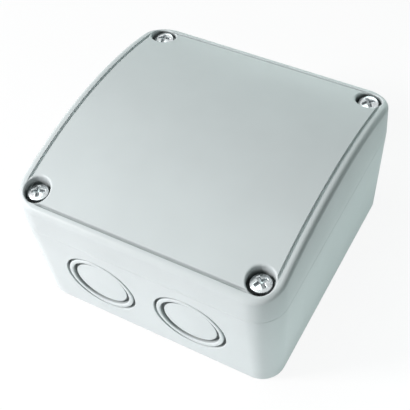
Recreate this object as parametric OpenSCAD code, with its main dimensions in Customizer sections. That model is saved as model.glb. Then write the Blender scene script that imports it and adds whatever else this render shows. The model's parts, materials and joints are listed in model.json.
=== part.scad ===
// Door controller in a square moulded case: a deep base with two stepped conduit knockouts,
// an arched lid held by four corner screws, and a control board on standoffs inside.
// The underside rests on Z = 0, the knockouts face -Y and the lid lifts along +Z.

/* [Case] */
// Width across the front, at the parting line
case_w = 90; // [88:1:104]
// Depth from front to back, at the parting line
case_d = 90; // [88:1:104]
// Height of the base up to the parting line
base_h = 37.5; // [36:0.5:44]
// Height of the lid's rim above the parting line
rim_h = 9.5; // [9:0.5:13]
// Rise of the arched lid above its rim
crown_h = 8; // [5:0.5:10]
// Radius of the upright corners
corner_r = 9.6; // [9:0.1:10.4]
// Lean of each base wall over the height of the base
base_lean = 1.9; // [0.8:0.1:2.2]
// Lean of each lid wall over the height of the rim
lid_lean = 0.25; // [0.1:0.05:0.4]
// Thickness of the walls
wall = 2.5; // [2.2:0.1:2.8]
// Thickness of the floor
floor_t = 3; // [2.5:0.1:3.5]
// Thickness of the arched top
lid_t = 2.5; // [2:0.1:3]
// Rounding of the lid's outer edge
rim_fillet = 1.6; // [1.2:0.1:2.6]
// Bevel round the underside
foot_bevel = 1; // [0.4:0.1:1.5]
// Open gap at the parting line
parting_gap = 0.3; // [0.2:0.05:0.4]

/* [Lid fit] */
// Depth of the lid's locating lip inside the base
lip_h = 3; // [2:0.25:4]
// Thickness of the locating lip
lip_t = 1.4; // [1:0.1:2]
// Play between the lip and the base wall
lip_play = 0.4; // [0.3:0.05:0.6]
// Height of the lid's shoulder above the parting line
shoulder_h = 2.2; // [2:0.1:3]
// Distance of the gasket from the outer face
gasket_inset = 0.8; // [0.7:0.05:0.9]
// Width of the gasket
gasket_w = 1.2; // [0.8:0.1:1.4]
// Depth of the gasket's channel in the lid
gasket_h = 1; // [0.8:0.1:1.2]
// Gap between facing seats that part from each other
seat_gap = 0.1; // [0.05:0.05:0.2]
// Distance of the groove from the lid's outer edge
groove_inset = 3.1; // [2.9:0.1:3.3]
// Width of the groove
groove_w = 1; // [0.5:0.1:1.2]
// Depth of the groove
groove_depth = 0.9; // [0.3:0.1:1.1]

/* [Lid screws] */
// Distance of each screw from the two outer faces beside it
screw_inset = 7.25; // [7:0.05:7.5]
// Radius of the well round the screw head
well_r = 4.2; // [4:0.1:4.7]
// Depth of the screw head below the arched top
head_sunk = 0.7; // [0.5:0.05:2.5]
// Radius of the screw head
head_r = 3.2; // [3:0.1:3.6]
// Height of the screw head
head_h = 2.3; // [2:0.1:2.8]
// Height of the straight side of the screw head
head_side_h = 1.4; // [0.8:0.1:1.5]
// Radius of the screw shank
shank_r = 1.75; // [1.5:0.05:2]
// Length of the screw below its head
screw_len = 24; // [20:1:26]
// Length of the screw's point
point_h = 3; // [2:0.5:4]
// Radius of the sealing ring under the head
seal_r = 3.8; // [3.6:0.05:4.1]
// Thickness of the sealing ring
seal_t = 0.9; // [0.6:0.1:1.2]
// Radius of the base's corner posts
post_r = 4.3; // [4:0.1:4.8]
// Wall round each well, under the lid
pillar_wall = 1.2; // [1:0.1:1.6]
// Free bore below the tip of each screw
bore_spare = 2; // [1:0.5:4]

/* [Knockouts] */
// Half the distance between the knockout centres
knockout_x = 16.1; // [15:0.1:18]
// Shift of the pair of knockouts along the front
knockout_shift = -0.45; // [-1:0.05:1]
// Height of the knockout centres
knockout_z = 19.8; // [18:0.1:21]
// Radius of the larger conduit size, at its scored ring
knockout_r = 12.6; // [11:0.05:13]
// Radius of the smaller conduit size, at its scored ring
disc_r = 10.25; // [8:0.05:10.5]
// Width of the larger scored ring
score_w = 0.9; // [0.5:0.1:1]
// Width of the smaller scored ring
disc_score_w = 1.1; // [0.5:0.1:1.4]
// Depth of the scored rings
score_depth = 1.7; // [0.8:0.1:1.8]
// Depth of the sunk disc
disc_depth = 0.6; // [0.2:0.1:0.8]

/* [Wall fixing] */
// Hole spacing across the base
fix_x = 50; // [40:1:52]
// Hole spacing from front to back
fix_y = 72; // [70:0.5:73]
// Radius of the wall fixing holes
fix_r = 2.2; // [1.8:0.1:2.6]
// Radius of the pad round each fixing hole
fix_pad_r = 4; // [3.5:0.1:4.2]
// Height of the pads above the floor
fix_pad_h = 1; // [0.5:0.1:2]

/* [Board] */
// Width of the circuit board
board_w = 71.5; // [68:0.5:76]
// Depth of the circuit board
board_d = 60; // [60:0.5:61]
// Thickness of the circuit board
board_t = 1.6; // [1:0.1:2]
// Shift of the board from the middle towards the back
board_shift = 1.5; // [1:0.1:2]
// Height of the standoffs above the floor
standoff_h = 6; // [4:0.5:7]
// Radius of the standoffs
standoff_r = 3; // [2.8:0.1:3.4]
// Distance of the board screws from the board's edges
board_inset = 4; // [3.8:0.1:4.2]
// Radius of the board screws' shanks
board_screw_r = 1.45; // [1.2:0.05:1.6]
// Length of the board screws' shanks
board_screw_len = 6; // [5:0.5:7]
// Radius of the board screws' heads
board_head_r = 2.75; // [2.4:0.05:2.8]
// Height of the board screws' heads
board_head_h = 2; // [1.5:0.1:2.4]

/* [Terminals] */
// Spacing of the terminals
term_pitch = 5.08; // [5.08:0.02:5.3]
// Wall at each end of a terminal block
term_end = 0.6; // [0.4:0.1:1]
// Depth of the terminal blocks
term_d = 9.6; // [9.4:0.1:10]
// Height of the terminal blocks
term_h = 13; // [12.6:0.1:14]
// Ways in the power block
power_ways = 4; // [4]
// Ways in the control block
control_ways = 3; // [3]
// Width of each clamp cage
cage_w = 3.7; // [3.4:0.1:3.8]
// Depth of each clamp cage
cage_d = 5; // [4.6:0.1:5.2]
// Clear height inside each clamp cage
cage_window_h = 3.4; // [3.2:0.1:3.6]
// Thickness of the top and bottom of each clamp cage
cage_t = 1.2; // [1:0.05:1.3]
// Thickness of the sides of each clamp cage
cage_side_t = 0.5; // [0.4:0.05:0.7]
// Rise of each cage as its screw clamps
cage_rise = 2; // [1.5:0.1:2]
// Radius of the clamp screws' shanks
clamp_r = 1.25; // [1:0.05:1.3]
// Radius of the clamp screws' heads
clamp_head_r = 1.8; // [1.6:0.05:1.9]
// Height of the clamp screws' heads
clamp_head_h = 1.6; // [1.2:0.1:1.8]
// Width of the contact strips
contact_w = 2; // [1.6:0.1:2.2]
// Thickness of the contact strips
contact_t = 0.6; // [0.4:0.05:0.7]

/* [Power parts] */
// Width of the transformer
transformer_w = 32.5; // [30:0.5:33]
// Depth of the transformer
transformer_d = 27.5; // [25:0.5:28]
// Height of the transformer
transformer_h = 22; // [18:0.5:23]
// Width of each relay
relay_w = 10.2; // [9:0.2:12]
// Depth of each relay
relay_d = 18.4; // [17:0.2:20]
// Height of each relay
relay_h = 15.3; // [13:0.1:17]
// Length of the fuse
fuse_len = 20; // [19:0.5:21]
// Radius of the fuse's end caps
fuse_r = 2.6; // [2.4:0.05:2.8]
// Length of each fuse end cap
fuse_cap_len = 5.5; // [4.5:0.1:6]
// Radius of the fuse's glass
fuse_glass_r = 2.3; // [2:0.05:2.3]
// Wall of the fuse's glass
fuse_glass_t = 0.5; // [0.4:0.05:0.7]
// Thickness of the fuse clips' metal
clip_t = 0.5; // [0.4:0.05:0.6]
// Width of each fuse clip
clip_w = 5; // [4:0.1:5.4]
// Height of the fuse's axis above the board
fuse_z = 4.2; // [4:0.1:6]
// Radius of the larger capacitor
big_cap_r = 5; // [4:0.1:5]
// Height of the larger capacitor
big_cap_h = 20; // [15:0.5:22]
// Radius of the smaller capacitor
small_cap_r = 4; // [3:0.1:4]
// Height of the smaller capacitor
small_cap_h = 12; // [10:0.5:16]
// Radius of the varistor
varistor_r = 5.5; // [4:0.1:5.6]
// Thickness of the varistor
varistor_t = 4; // [3:0.1:4.2]
// Radius of the bridge rectifier
bridge_r = 4.4; // [3.8:0.1:4.4]
// Height of the bridge rectifier
bridge_h = 5.5; // [4:0.1:7]

/* [Control parts] */
// Width of the microcontroller body
chip_w = 7.5; // [6.5:0.1:7.6]
// Length of the microcontroller body
chip_d = 12.8; // [12.8:0.1:13]
// Height of the microcontroller body
chip_h = 2.2; // [1.6:0.1:2.6]
// Radio board width
radio_w = 22; // [18:0.5:23]
// Radio board height
radio_h = 15; // [12:0.5:16]
// Radio board thickness
radio_t = 1; // [0.8:0.1:1.6]
// Side of the radio's shield can
shield_side = 9; // [7:0.5:9.5]
// Depth of the radio's shield can
shield_t = 2.2; // [1.6:0.1:2.4]
// Radius of the antenna wire
antenna_r = 0.5; // [0.4:0.05:0.7]
// Length of the antenna's level run
antenna_len = 44; // [30:1:48]
// Radius of each lamp
lamp_r = 1.5; // [1.2:0.1:1.6]
// Height of each lamp
lamp_h = 5.2; // [4:0.1:7]
// Side of each push button's housing
button_side = 6; // [5:0.1:6.2]
// Height of each push button's housing
button_h = 3.5; // [3:0.1:4]
// Radius of each push button
plunger_r = 1.7; // [1.4:0.05:1.9]
// Height of each push button above its housing
plunger_out = 3; // [1:0.1:5]
// Travel of each push button
plunger_travel = 0.25; // [0.2:0.05:0.4]
// Spacing of the setting levers
lever_pitch = 2.54; // [2.5:0.02:2.6]
// Width of each setting lever
lever_w = 1.1; // [0.9:0.05:1.2]
// Length of each setting lever
lever_len = 1.8; // [1.5:0.1:2]
// Travel of each setting lever
lever_travel = 2; // [1.5:0.1:2.2]
// Height of the setting switch's housing
switch_h = 4; // [3.5:0.1:5]
// Side of the trimmer's body
trimmer_side = 9.5; // [8:0.1:9.6]
// Height of the trimmer's body
trimmer_h = 4.8; // [4:0.1:6]
// Radius of the trimmer's rotor
rotor_r = 3; // [2.5:0.1:3.4]
// Spacing of the jumper pins
pin_pitch = 2.54; // [2.5:0.02:2.6]
// Side of each pin
pin_side = 0.64; // [0.5:0.02:0.7]
// Height of the pins above their strip
pin_out = 6; // [5.6:0.1:7]
// Height of the pins' plastic strip
strip_h = 2.5; // [2:0.1:3]

/* [Fits] */
// Radial clearance of a turning or sliding round fit
run_fit = 0.05; // [0.03:0.01:0.1]
// Clearance of small guided pieces
guide_play = 0.15; // [0.1:0.01:0.2]
// Radial clearance of the screws in the lid
screw_play = 0.3; // [0.2:0.05:0.5]

/* [Hidden] */
$fn = 48;
arch_facets = 720;
over = 1;

base_top = base_h - parting_gap / 2;
lid_bottom = base_h + parting_gap / 2;
case_h = base_h + rim_h + crown_h;
arch_r = (case_d * case_d / 4 + crown_h * crown_h) / (2 * crown_h);
arch_z = case_h - arch_r;
lean_angle = atan(base_lean / base_h);
lip_inset = wall + lip_play + base_inset(base_h - lip_h);
lip_inner = lip_inset + lip_t;

corner_names = ["front_left", "front_right", "back_right", "back_left"];
corner_signs = [[-1, -1], [1, -1], [1, 1], [-1, 1]];
cross_turns = [25, 55, 40, 10];
screw_x = case_w / 2 - screw_inset;
screw_y = case_d / 2 - screw_inset;
head_top = arch_top(screw_y) - head_sunk;
head_z = head_top - head_h;
seal_z = head_z - seat_gap - seal_t;
well_z = seal_z - seat_gap;
post_top = base_h - lip_h - parting_gap;
tip_z = head_z - screw_len;
pillar_r = well_r + pillar_wall;
cross_w = 1;
cross_len = 4;
cross_depth = 1.3;
point_r = 0.4;

board_z = floor_t + standoff_h;
board_top = board_z + board_t;
board_front = board_shift - board_d / 2;
board_hole_r = board_screw_r + run_fit;
edge_bevel = 0.6;

// Terminal blocks, measured up from the board and back from their front faces
term_at_front = 0.5;
power_x = -16;
control_x = 18;
pocket_front = 1.2;
pocket_z = 1;
cage_z = pocket_z + guide_play;
cage_h = cage_window_h + 2 * cage_t;
pocket_h = cage_h + cage_rise + 3 * guide_play;
pocket_w = cage_w + 2 * guide_play;
pocket_d = cage_d + 2 * guide_play;
ledge_t = 0.8;
ledge_z = pocket_z + pocket_h + ledge_t;
contact_z = cage_z + cage_t + cage_window_h - guide_play - contact_t;
contact_tail = 1.4;
contact_back = pocket_front + pocket_d + contact_tail;
clamp_tip_z = contact_z + contact_t + 2 * guide_play;
slot_w = 0.6;
slot_depth = 0.8;

// Smaller sizes of the parts on the board
chip_pins = 10;
chip_pitch = 1.27;
lead_w = 0.4;
lead_out = 1.3;
lead_t = 0.25;
chip_lift = 0.1;
regulator_w = 10;
regulator_t = 4.4;
regulator_h = 9;
tab_t = 1.3;
tab_h = 6.4;
tab_hole_r = 1.8;
regulator_lift = 4;
regulator_pitch = 2.54;
regulator_lead = 0.8;
varistor_lift = 1.2;
varistor_lead_r = 0.4;
varistor_lead_gap = 5;
strip_d = 2.5;
radio_pins = 6;
radio_pin_out = 5;
antenna_rise = 6;
antenna_edge = 3;
lamp_flange_r = 0.4;
lamp_flange_h = 1;
levers = 4;
switch_end = 0.8;
switch_w = levers * lever_pitch + 2 * switch_end;
switch_d = 9.2;
lever_h = 2.4;
lever_sunk = 1.5;
rotor_h = 1.2;
rotor_sunk = 0.9;
jumper_pins = 3;
cap_wall = 0.8;
jumper_cap_h = 5;
jumper_hole = pin_side + 2 * guide_play;
vent_depth = 0.4;
vent_w = 0.8;

// Places on the board, from the middle of the board: the power parts follow its left edge,
// the relays its right edge, and neighbours in a row keep a gap between them
part_gap = 1;
fuse_gap = 1.9;
button_gap = 2;
lamp_gap = 0.7;
screw_line = board_w / 2 - board_inset;
fuse_at = [-screw_line, -6];
varistor_at = [-screw_line, 13];
transformer_at = [board_head_r + part_gap + transformer_w / 2 - screw_line, 15];
big_cap_at = [fuse_r + clip_t + fuse_gap + big_cap_r - screw_line, -11.5];
small_cap_at = [big_cap_at[0] + big_cap_r + part_gap + small_cap_r, -14];
regulator_at = [big_cap_at[0], -2.8];
bridge_at = [regulator_at[0] + regulator_w / 2 + part_gap + bridge_r, -4.6];
chip_half = chip_w / 2 + lead_out;
chip_at = [bridge_at[0] + bridge_r + part_gap + chip_half, -7.2];
switch_at = [chip_at[0] + chip_half + part_gap + switch_w / 2, -4.2];
trimmer_at = [switch_at[0] + switch_w / 2 + part_gap + trimmer_side / 2, -3.8];
learn_at = [chip_at[0] + chip_half + part_gap + button_side / 2, -14.2];
test_at = [learn_at[0] + button_side + button_gap, -14.2];
lamp_half = lamp_r + lamp_flange_r;
power_lamp_at = [test_at[0] + button_side / 2 + part_gap + lamp_half, -14];
status_lamp_at = [power_lamp_at[0] + 2 * lamp_half + lamp_gap, -14];
jumper_at = [screw_line, -12.4];
relay_close_at = [board_w / 2 - part_gap - relay_w / 2, 12];
relay_open_at = [relay_close_at[0] - relay_w - part_gap, 12];
transformer_right = transformer_at[0] + transformer_w / 2;
radio_at = [(transformer_right + screw_line - board_head_r) / 2, 26.3];

case_colour = [0.80, 0.84, 0.84];
zinc_colour = [0.82, 0.83, 0.84];
seal_colour = [0.10, 0.11, 0.11];
board_colour = [0.05, 0.32, 0.16];
black_colour = [0.07, 0.07, 0.08];
brass_colour = [0.78, 0.62, 0.28];
terminal_colour = [0.16, 0.48, 0.26];

function base_inset(z) = base_lean * (1 - z / base_h);
function lid_inset(z) = lid_lean * (z - base_h) / rim_h;
function arch_top(y) = arch_z + sqrt(arch_r * arch_r - y * y);
function term_w(ways) = ways * term_pitch + 2 * term_end;
function way_x(i, ways) = (i - (ways - 1) / 2) * term_pitch;
function power_way_x(i) = power_x + way_x(i, power_ways);
function control_way_x(i) = control_x + way_x(i, control_ways);

// A slab whose two sides follow a profile of [inset, z] points
module profile_slab(half, run, profile) {
  right = [for (p = profile) [half - p[0], p[1]]];
  left = [for (i = [len(profile) - 1:-1:0]) [profile[i][0] - half, profile[i][1]]];
  rotate([90, 0, 0]) linear_extrude(run, center = true) polygon(concat(right, left));
}

// The case's rounded square plan, with every side following a profile of [inset, z] points
module case_block(profile) {
  low = profile[0][1];
  high = profile[len(profile) - 1][1];
  turned = concat([[0, low]], [for (p = profile) [corner_r - p[0], p[1]]], [[0, high]]);
  profile_slab(case_w / 2, case_d - 2 * corner_r, profile);
  rotate([0, 0, 90]) profile_slab(case_d / 2, case_w - 2 * corner_r, profile);
  for (s = corner_signs)
    translate([s[0] * (case_w / 2 - corner_r), s[1] * (case_d / 2 - corner_r), 0])
      rotate_extrude() polygon(turned);
}

// Copies of its children at the four lid screws
module at_screws() {
  for (s = corner_signs) translate([s[0] * screw_x, s[1] * screw_y, 0]) children();
}

// Copies of its children at the four board screws
module at_board_screws() {
  for (s = corner_signs)
    translate([s[0] * (board_w / 2 - board_inset), board_shift + s[1] * (board_d / 2 - board_inset), 0])
      children();
}

// Its children, standing on the board at a place measured from the board's middle
module on_board(place) {
  translate([place[0], board_shift + place[1], board_top]) children();
}

// Its children on the leaning front face, with their +Z pointing outwards
module on_front(x, z) {
  translate([x, base_inset(z) - case_d / 2, z]) rotate([90 + lean_angle, 0, 0]) children();
}

// A block standing on its base, with its upright edges and its top edge bevelled
module bevelled_block(w, d, h, bevel) {
  across = [[-w / 2, 0], [w / 2, 0], [w / 2, h - bevel], [w / 2 - bevel, h], [bevel - w / 2, h],
    [-w / 2, h - bevel]];
  along = [[-d / 2, 0], [d / 2, 0], [d / 2, h - bevel], [d / 2 - bevel, h], [bevel - d / 2, h],
    [-d / 2, h - bevel]];
  intersection() {
    rotate([90, 0, 0]) linear_extrude(d, center = true) polygon(across);
    rotate([90, 0, 90]) linear_extrude(w, center = true) polygon(along);
  }
}

// A block on its base, centred across
module block(w, d, h) {
  translate([-w / 2, -d / 2, 0]) cube([w, d, h]);
}

// A round pin or tube standing on its base
module tube(outer, inner, h) {
  difference() {
    cylinder(r = outer, h = h);
    translate([0, 0, -over]) cylinder(r = inner, h = h + 2 * over);
  }
}

// Rising part of the base inside its walls: corner posts, standoffs and fixing pads
module base_inside() {
  at_screws() cylinder(r = post_r, h = post_top);
  at_board_screws() cylinder(r = standoff_r, h = board_z);
  for (s = corner_signs)
    translate([s[0] * fix_x / 2, s[1] * fix_y / 2, 0]) cylinder(r = fix_pad_r, h = floor_t + fix_pad_h);
}

// The cut of one knockout: a scored ring for the larger conduit, a scored and sunk disc for the smaller
module knockout_cut(x) {
  on_front(x, knockout_z) {
    translate([0, 0, -score_depth]) {
      tube(knockout_r, knockout_r - score_w, score_depth + over);
      tube(disc_r, disc_r - disc_score_w, score_depth + over);
    }
    translate([0, 0, -disc_depth]) cylinder(r = disc_r, h = disc_depth + over);
  }
}

module base_shell() {
  color(case_colour) difference() {
    case_block([[base_inset(foot_bevel) + foot_bevel, 0], [base_inset(foot_bevel), foot_bevel],
      [base_inset(base_top), base_top]]);
    difference() {
      case_block([[wall + base_inset(floor_t), floor_t],
        [wall + base_inset(base_top + over), base_top + over]]);
      base_inside();
    }
    at_screws() translate([0, 0, tip_z - bore_spare])
      cylinder(r = shank_r + run_fit, h = post_top - tip_z + bore_spare + over);
    at_board_screws() translate([0, 0, board_z - board_screw_len + board_t - over])
      cylinder(r = board_hole_r, h = board_screw_len + over);
    for (s = corner_signs) translate([s[0] * fix_x / 2, s[1] * fix_y / 2, -over])
      cylinder(r = fix_r, h = floor_t + fix_pad_h + 2 * over);
    for (side = [-1, 1]) knockout_cut(knockout_shift + side * knockout_x);
  }
}

module gasket() {
  low = base_top + seat_gap;
  high = lid_bottom + gasket_h;
  color(seal_colour) difference() {
    case_block([[gasket_inset, low], [gasket_inset, high]]);
    case_block([[gasket_inset + gasket_w, low - over], [gasket_inset + gasket_w, high + over]]);
  }
}

// What the rounded rim takes off the two arched side edges
module side_round(side) {
  half = case_w / 2 - lid_inset(base_h + rim_h - rim_fillet);
  translate([0, 0, arch_z]) rotate([0, 90, 0]) rotate_extrude($fn = arch_facets)
    difference() {
      translate([arch_r - rim_fillet, side > 0 ? half - rim_fillet : -half - over])
        square([rim_fillet + over, rim_fillet + over]);
      translate([arch_r - rim_fillet, side * (half - rim_fillet)]) circle(rim_fillet);
    }
}

// What the rounded rim takes off a straight edge, front or back
module straight_round(side) {
  y = case_d / 2 - lid_inset(base_h + rim_h) - rim_fillet;
  z = arch_z + sqrt(pow(arch_r - rim_fillet, 2) - y * y);
  slope = asin(y / (arch_r - rim_fillet));
  reach = rim_fillet + over;
  flip = side > 0 ? 0 : 1;
  mirror([0, flip, 0]) translate([0, y, z]) rotate([90, 0, 90])
    linear_extrude(case_w + 2 * over, center = true) difference() {
      polygon([[0, 0], [reach * sin(slope), reach * cos(slope)], [reach, reach], [reach, 0]]);
      circle(rim_fillet);
    }
}

module lid_outside() {
  difference() {
    intersection() {
      case_block([[lid_inset(lid_bottom), lid_bottom], [lid_inset(case_h + over), case_h + over]]);
      translate([0, 0, arch_z]) rotate([0, 90, 0])
        cylinder(r = arch_r, h = case_w + 2 * over, center = true, $fn = arch_facets);
    }
    for (side = [-1, 1]) {
      side_round(side);
      straight_round(side);
    }
  }
}

module lid_inside() {
  difference() {
    intersection() {
      case_block([[lip_inner, lid_bottom - over], [lip_inner, lid_bottom + shoulder_h],
        [wall, lid_bottom + shoulder_h + lip_inner - wall],
        [wall + lid_inset(case_h), case_h]]);
      translate([0, 0, arch_z]) rotate([0, 90, 0])
        cylinder(r = arch_r - lid_t, h = case_w + 2 * over, center = true, $fn = arch_facets);
    }
    at_screws() cylinder(r = pillar_r, h = case_h);
  }
}

// The locating lip and the feet of the four pillars, below the parting line
module lid_lip() {
  intersection() {
    case_block([[lip_inset, base_h - lip_h], [lip_inset, lid_bottom + shoulder_h]]);
    union() {
      at_screws() cylinder(r = pillar_r, h = case_h);
      difference() {
        translate([-case_w / 2, -case_d / 2, 0]) cube([case_w, case_d, case_h]);
        case_block([[lip_inner, 0], [lip_inner, case_h]]);
      }
    }
  }
}

// The narrow groove inside the rim, straight along the front and back and arched at the sides
module groove_cut() {
  y = case_d / 2 - groove_inset;
  x = case_w / 2 - groove_inset;
  slope = asin(y / arch_r);
  for (side = [-1, 1]) {
    translate([0, side * y, arch_top(y)]) rotate([-side * slope, 0, 0])
      translate([-x, -groove_w / 2, -groove_depth]) cube([2 * x, groove_w, groove_depth + over]);
    intersection() {
      translate([side * x, 0, arch_z]) rotate([0, 90, 0]) rotate_extrude($fn = arch_facets)
        translate([arch_r - groove_depth, -groove_w / 2]) square([groove_depth + over, groove_w]);
      translate([-case_w / 2, -y, base_h]) cube([case_w, 2 * y, case_h]);
    }
  }
}

module lid() {
  color(case_colour) difference() {
    union() {
      difference() {
        lid_outside();
        lid_inside();
      }
      lid_lip();
    }
    at_screws() {
      translate([0, 0, well_z]) cylinder(r = well_r, h = case_h);
      cylinder(r = shank_r + screw_play, h = case_h);
    }
    groove_cut();
    difference() {
      case_block([[gasket_inset, lid_bottom - over], [gasket_inset, lid_bottom + gasket_h]]);
      case_block([[gasket_inset + gasket_w, lid_bottom - 2 * over],
        [gasket_inset + gasket_w, lid_bottom + gasket_h + over]]);
    }
  }
}

// Pan head with a cross recess, its underside at Z = 0
module pan_head(r, h, side_h, turn) {
  dome_r = (r * r + pow(h - side_h, 2)) / (2 * (h - side_h));
  difference() {
    intersection() {
      cylinder(r = r, h = h);
      translate([0, 0, h - dome_r]) sphere(dome_r, $fn = 96);
    }
    for (quarter = [0, 90]) rotate([0, 0, turn + quarter])
      translate([0, 0, h - cross_depth]) block(cross_len, cross_w, h);
  }
}

module lid_screw(corner) {
  s = corner_signs[corner];
  color(zinc_colour) translate([s[0] * screw_x, s[1] * screw_y, head_z]) {
    pan_head(head_r, head_h, head_side_h, cross_turns[corner]);
    translate([0, 0, point_h - screw_len]) cylinder(r = shank_r, h = screw_len - point_h);
    translate([0, 0, -screw_len]) cylinder(r1 = point_r, r2 = shank_r, h = point_h);
  }
}

module seal(corner) {
  s = corner_signs[corner];
  color(seal_colour) translate([s[0] * screw_x, s[1] * screw_y, seal_z])
    tube(seal_r, shank_r + run_fit, seal_t);
}

module circuit_board() {
  color(board_colour) difference() {
    translate([0, board_shift, board_z]) block(board_w, board_d, board_t);
    at_board_screws() cylinder(r = board_hole_r, h = case_h);
  }
}

module board_screws() {
  color(zinc_colour) at_board_screws() translate([0, 0, board_top]) {
    pan_head(board_head_r, board_head_h, board_head_h / 2, 0);
    translate([0, 0, -board_screw_len]) cylinder(r = board_screw_r, h = board_screw_len);
  }
}

module transformer() {
  color("dimgray") on_board(transformer_at)
    bevelled_block(transformer_w, transformer_d, transformer_h, edge_bevel);
}

module relay(place) {
  color([0.10, 0.28, 0.62]) on_board(place) bevelled_block(relay_w, relay_d, relay_h, edge_bevel);
}

// Its children at the two ends of the fuse, on the board
module at_fuse_ends() {
  for (side = [-1, 1])
    on_board([fuse_at[0], fuse_at[1] + side * (fuse_len - fuse_cap_len) / 2]) children();
}

module fuse_clips() {
  inside = fuse_r + run_fit;
  arm_h = fuse_z + fuse_r / 2;
  floor_z = fuse_z - inside;
  color(brass_colour) at_fuse_ends() {
    translate([0, 0, floor_z - clip_t]) block(2 * (inside + clip_t), clip_w, clip_t);
    block(2 * clip_t, clip_w, floor_z - clip_t);
    for (side = [-1, 1])
      translate([side * (inside + clip_t / 2), 0, floor_z - clip_t]) block(clip_t, clip_w, arm_h - floor_z);
  }
}

module fuse_glass() {
  glass_len = fuse_len - 2 * fuse_cap_len;
  color([0.8, 0.9, 0.9, 0.5]) on_board(fuse_at) translate([0, glass_len / 2, fuse_z])
    rotate([90, 0, 0]) tube(fuse_glass_r, fuse_glass_r - fuse_glass_t, glass_len);
}

module fuse_caps() {
  color(zinc_colour) at_fuse_ends() translate([0, fuse_cap_len / 2, fuse_z])
    rotate([90, 0, 0]) cylinder(r = fuse_r, h = fuse_cap_len);
}

// Its children at the front face of a terminal block, on the board
module on_terminal(x) {
  translate([x, board_front + term_at_front, board_top]) children();
}

module terminal_housing(x, ways) {
  w = term_w(ways);
  entry_w = cage_w - 2 * cage_side_t;
  contact_slot = contact_t + 2 * guide_play;
  color(terminal_colour) on_terminal(x) difference() {
    translate([0, term_d / 2, 0]) bevelled_block(w, term_d, term_h, edge_bevel);
    for (i = [0:ways - 1]) translate([way_x(i, ways), 0, 0]) {
      translate([-pocket_w / 2, pocket_front, pocket_z]) cube([pocket_w, pocket_d, pocket_h]);
      translate([-entry_w / 2, -over, cage_z + cage_t])
        cube([entry_w, pocket_front + 2 * over, cage_window_h]);
      translate([0, pocket_front + pocket_d / 2, 0]) {
        cylinder(r = clamp_r + 2 * run_fit, h = term_h);
        translate([0, 0, ledge_z]) cylinder(r = clamp_head_r + guide_play, h = term_h);
      }
      translate([-contact_w / 2 - guide_play, pocket_front + pocket_d - over, contact_z - guide_play])
        cube([contact_w + 2 * guide_play, contact_back + guide_play - pocket_front - pocket_d + over,
          contact_slot]);
      translate([-contact_w / 2 - guide_play, contact_back - contact_t - guide_play, -over])
        cube([contact_w + 2 * guide_play, contact_slot, contact_z + over + contact_t]);
    }
  }
}

module clamp_screw(x) {
  head = ledge_z + seat_gap;
  color(zinc_colour) on_terminal(x) translate([0, pocket_front + pocket_d / 2, 0]) {
    difference() {
      translate([0, 0, head]) cylinder(r = clamp_head_r, h = clamp_head_h);
      translate([0, 0, head + clamp_head_h - slot_depth]) block(2 * clamp_head_r + over, slot_w, over);
    }
    translate([0, 0, clamp_tip_z]) cylinder(r = clamp_r, h = head - clamp_tip_z);
  }
}

module clamp_cage(x) {
  color(brass_colour) on_terminal(x) translate([0, pocket_front + pocket_d / 2, cage_z]) difference() {
    block(cage_w, cage_d, cage_h);
    translate([0, 0, cage_t]) block(cage_w - 2 * cage_side_t, cage_d + 2 * over, cage_window_h);
    translate([0, 0, cage_h - cage_t - over]) cylinder(r = clamp_r + run_fit, h = cage_t + 2 * over);
  }
}

// One strip through each cage's window, with its leg behind the cage
module contact_strip(x) {
  start = pocket_front + guide_play + cage_side_t;
  on_terminal(x) {
    translate([-contact_w / 2, start, contact_z]) cube([contact_w, contact_back - start, contact_t]);
    translate([-contact_w / 2, contact_back - contact_t, 0])
      cube([contact_w, contact_t, contact_z + contact_t]);
  }
}

module terminal_contacts() {
  color(brass_colour) {
    for (i = [0:power_ways - 1]) contact_strip(power_way_x(i));
    for (i = [0:control_ways - 1]) contact_strip(control_way_x(i));
  }
}

module microcontroller() {
  color(black_colour) on_board(chip_at) translate([0, 0, chip_lift])
    bevelled_block(chip_w, chip_d, chip_h, edge_bevel / 2);
}

// Gull-wing leads, each a flat foot on the board and a short riser against the body
module microcontroller_leads() {
  riser_h = chip_lift + chip_h / 2;
  color(zinc_colour) on_board(chip_at)
    for (side = [-1, 1], i = [0:chip_pins - 1])
      translate([side * (chip_w / 2 + lead_out / 2), (i - (chip_pins - 1) / 2) * chip_pitch, 0]) {
        block(lead_out, lead_w, lead_t);
        translate([-side * (lead_out - lead_t) / 2, 0, 0]) block(lead_t, lead_w, riser_h);
      }
}

module radio_board() {
  color(board_colour) on_board(radio_at) translate([0, 0, strip_h]) block(radio_w, radio_t, radio_h);
}

module radio_shield() {
  color(zinc_colour) on_board(radio_at)
    translate([0, -radio_t / 2 - shield_t / 2, strip_h + (radio_h - shield_side) / 2])
      block(shield_side, shield_t, shield_side);
}

module radio_header() {
  color(black_colour) on_board(radio_at) {
    block(radio_pins * pin_pitch, strip_d, strip_h);
    for (i = [0:radio_pins - 1])
      translate([(i - (radio_pins - 1) / 2) * pin_pitch, (radio_t + pin_side) / 2, 0])
        block(pin_side, pin_side, strip_h + radio_pin_out);
  }
}

module antenna_wire() {
  color("peru") on_board(radio_at) translate([radio_w / 2 - antenna_edge, 0, strip_h + radio_h]) {
    cylinder(r = antenna_r, h = antenna_rise);
    translate([0, 0, antenna_rise]) sphere(antenna_r);
    translate([0, 0, antenna_rise]) rotate([0, -90, 0]) cylinder(r = antenna_r, h = antenna_len);
  }
}

module lamp(place) {
  on_board(place) {
    cylinder(r = lamp_r + lamp_flange_r, h = lamp_flange_h);
    cylinder(r = lamp_r, h = lamp_h - lamp_r);
    translate([0, 0, lamp_h - lamp_r]) sphere(lamp_r);
  }
}

module power_lamp() {
  color("limegreen") lamp(power_lamp_at);
}

module status_lamp() {
  color("red") lamp(status_lamp_at);
}

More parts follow.
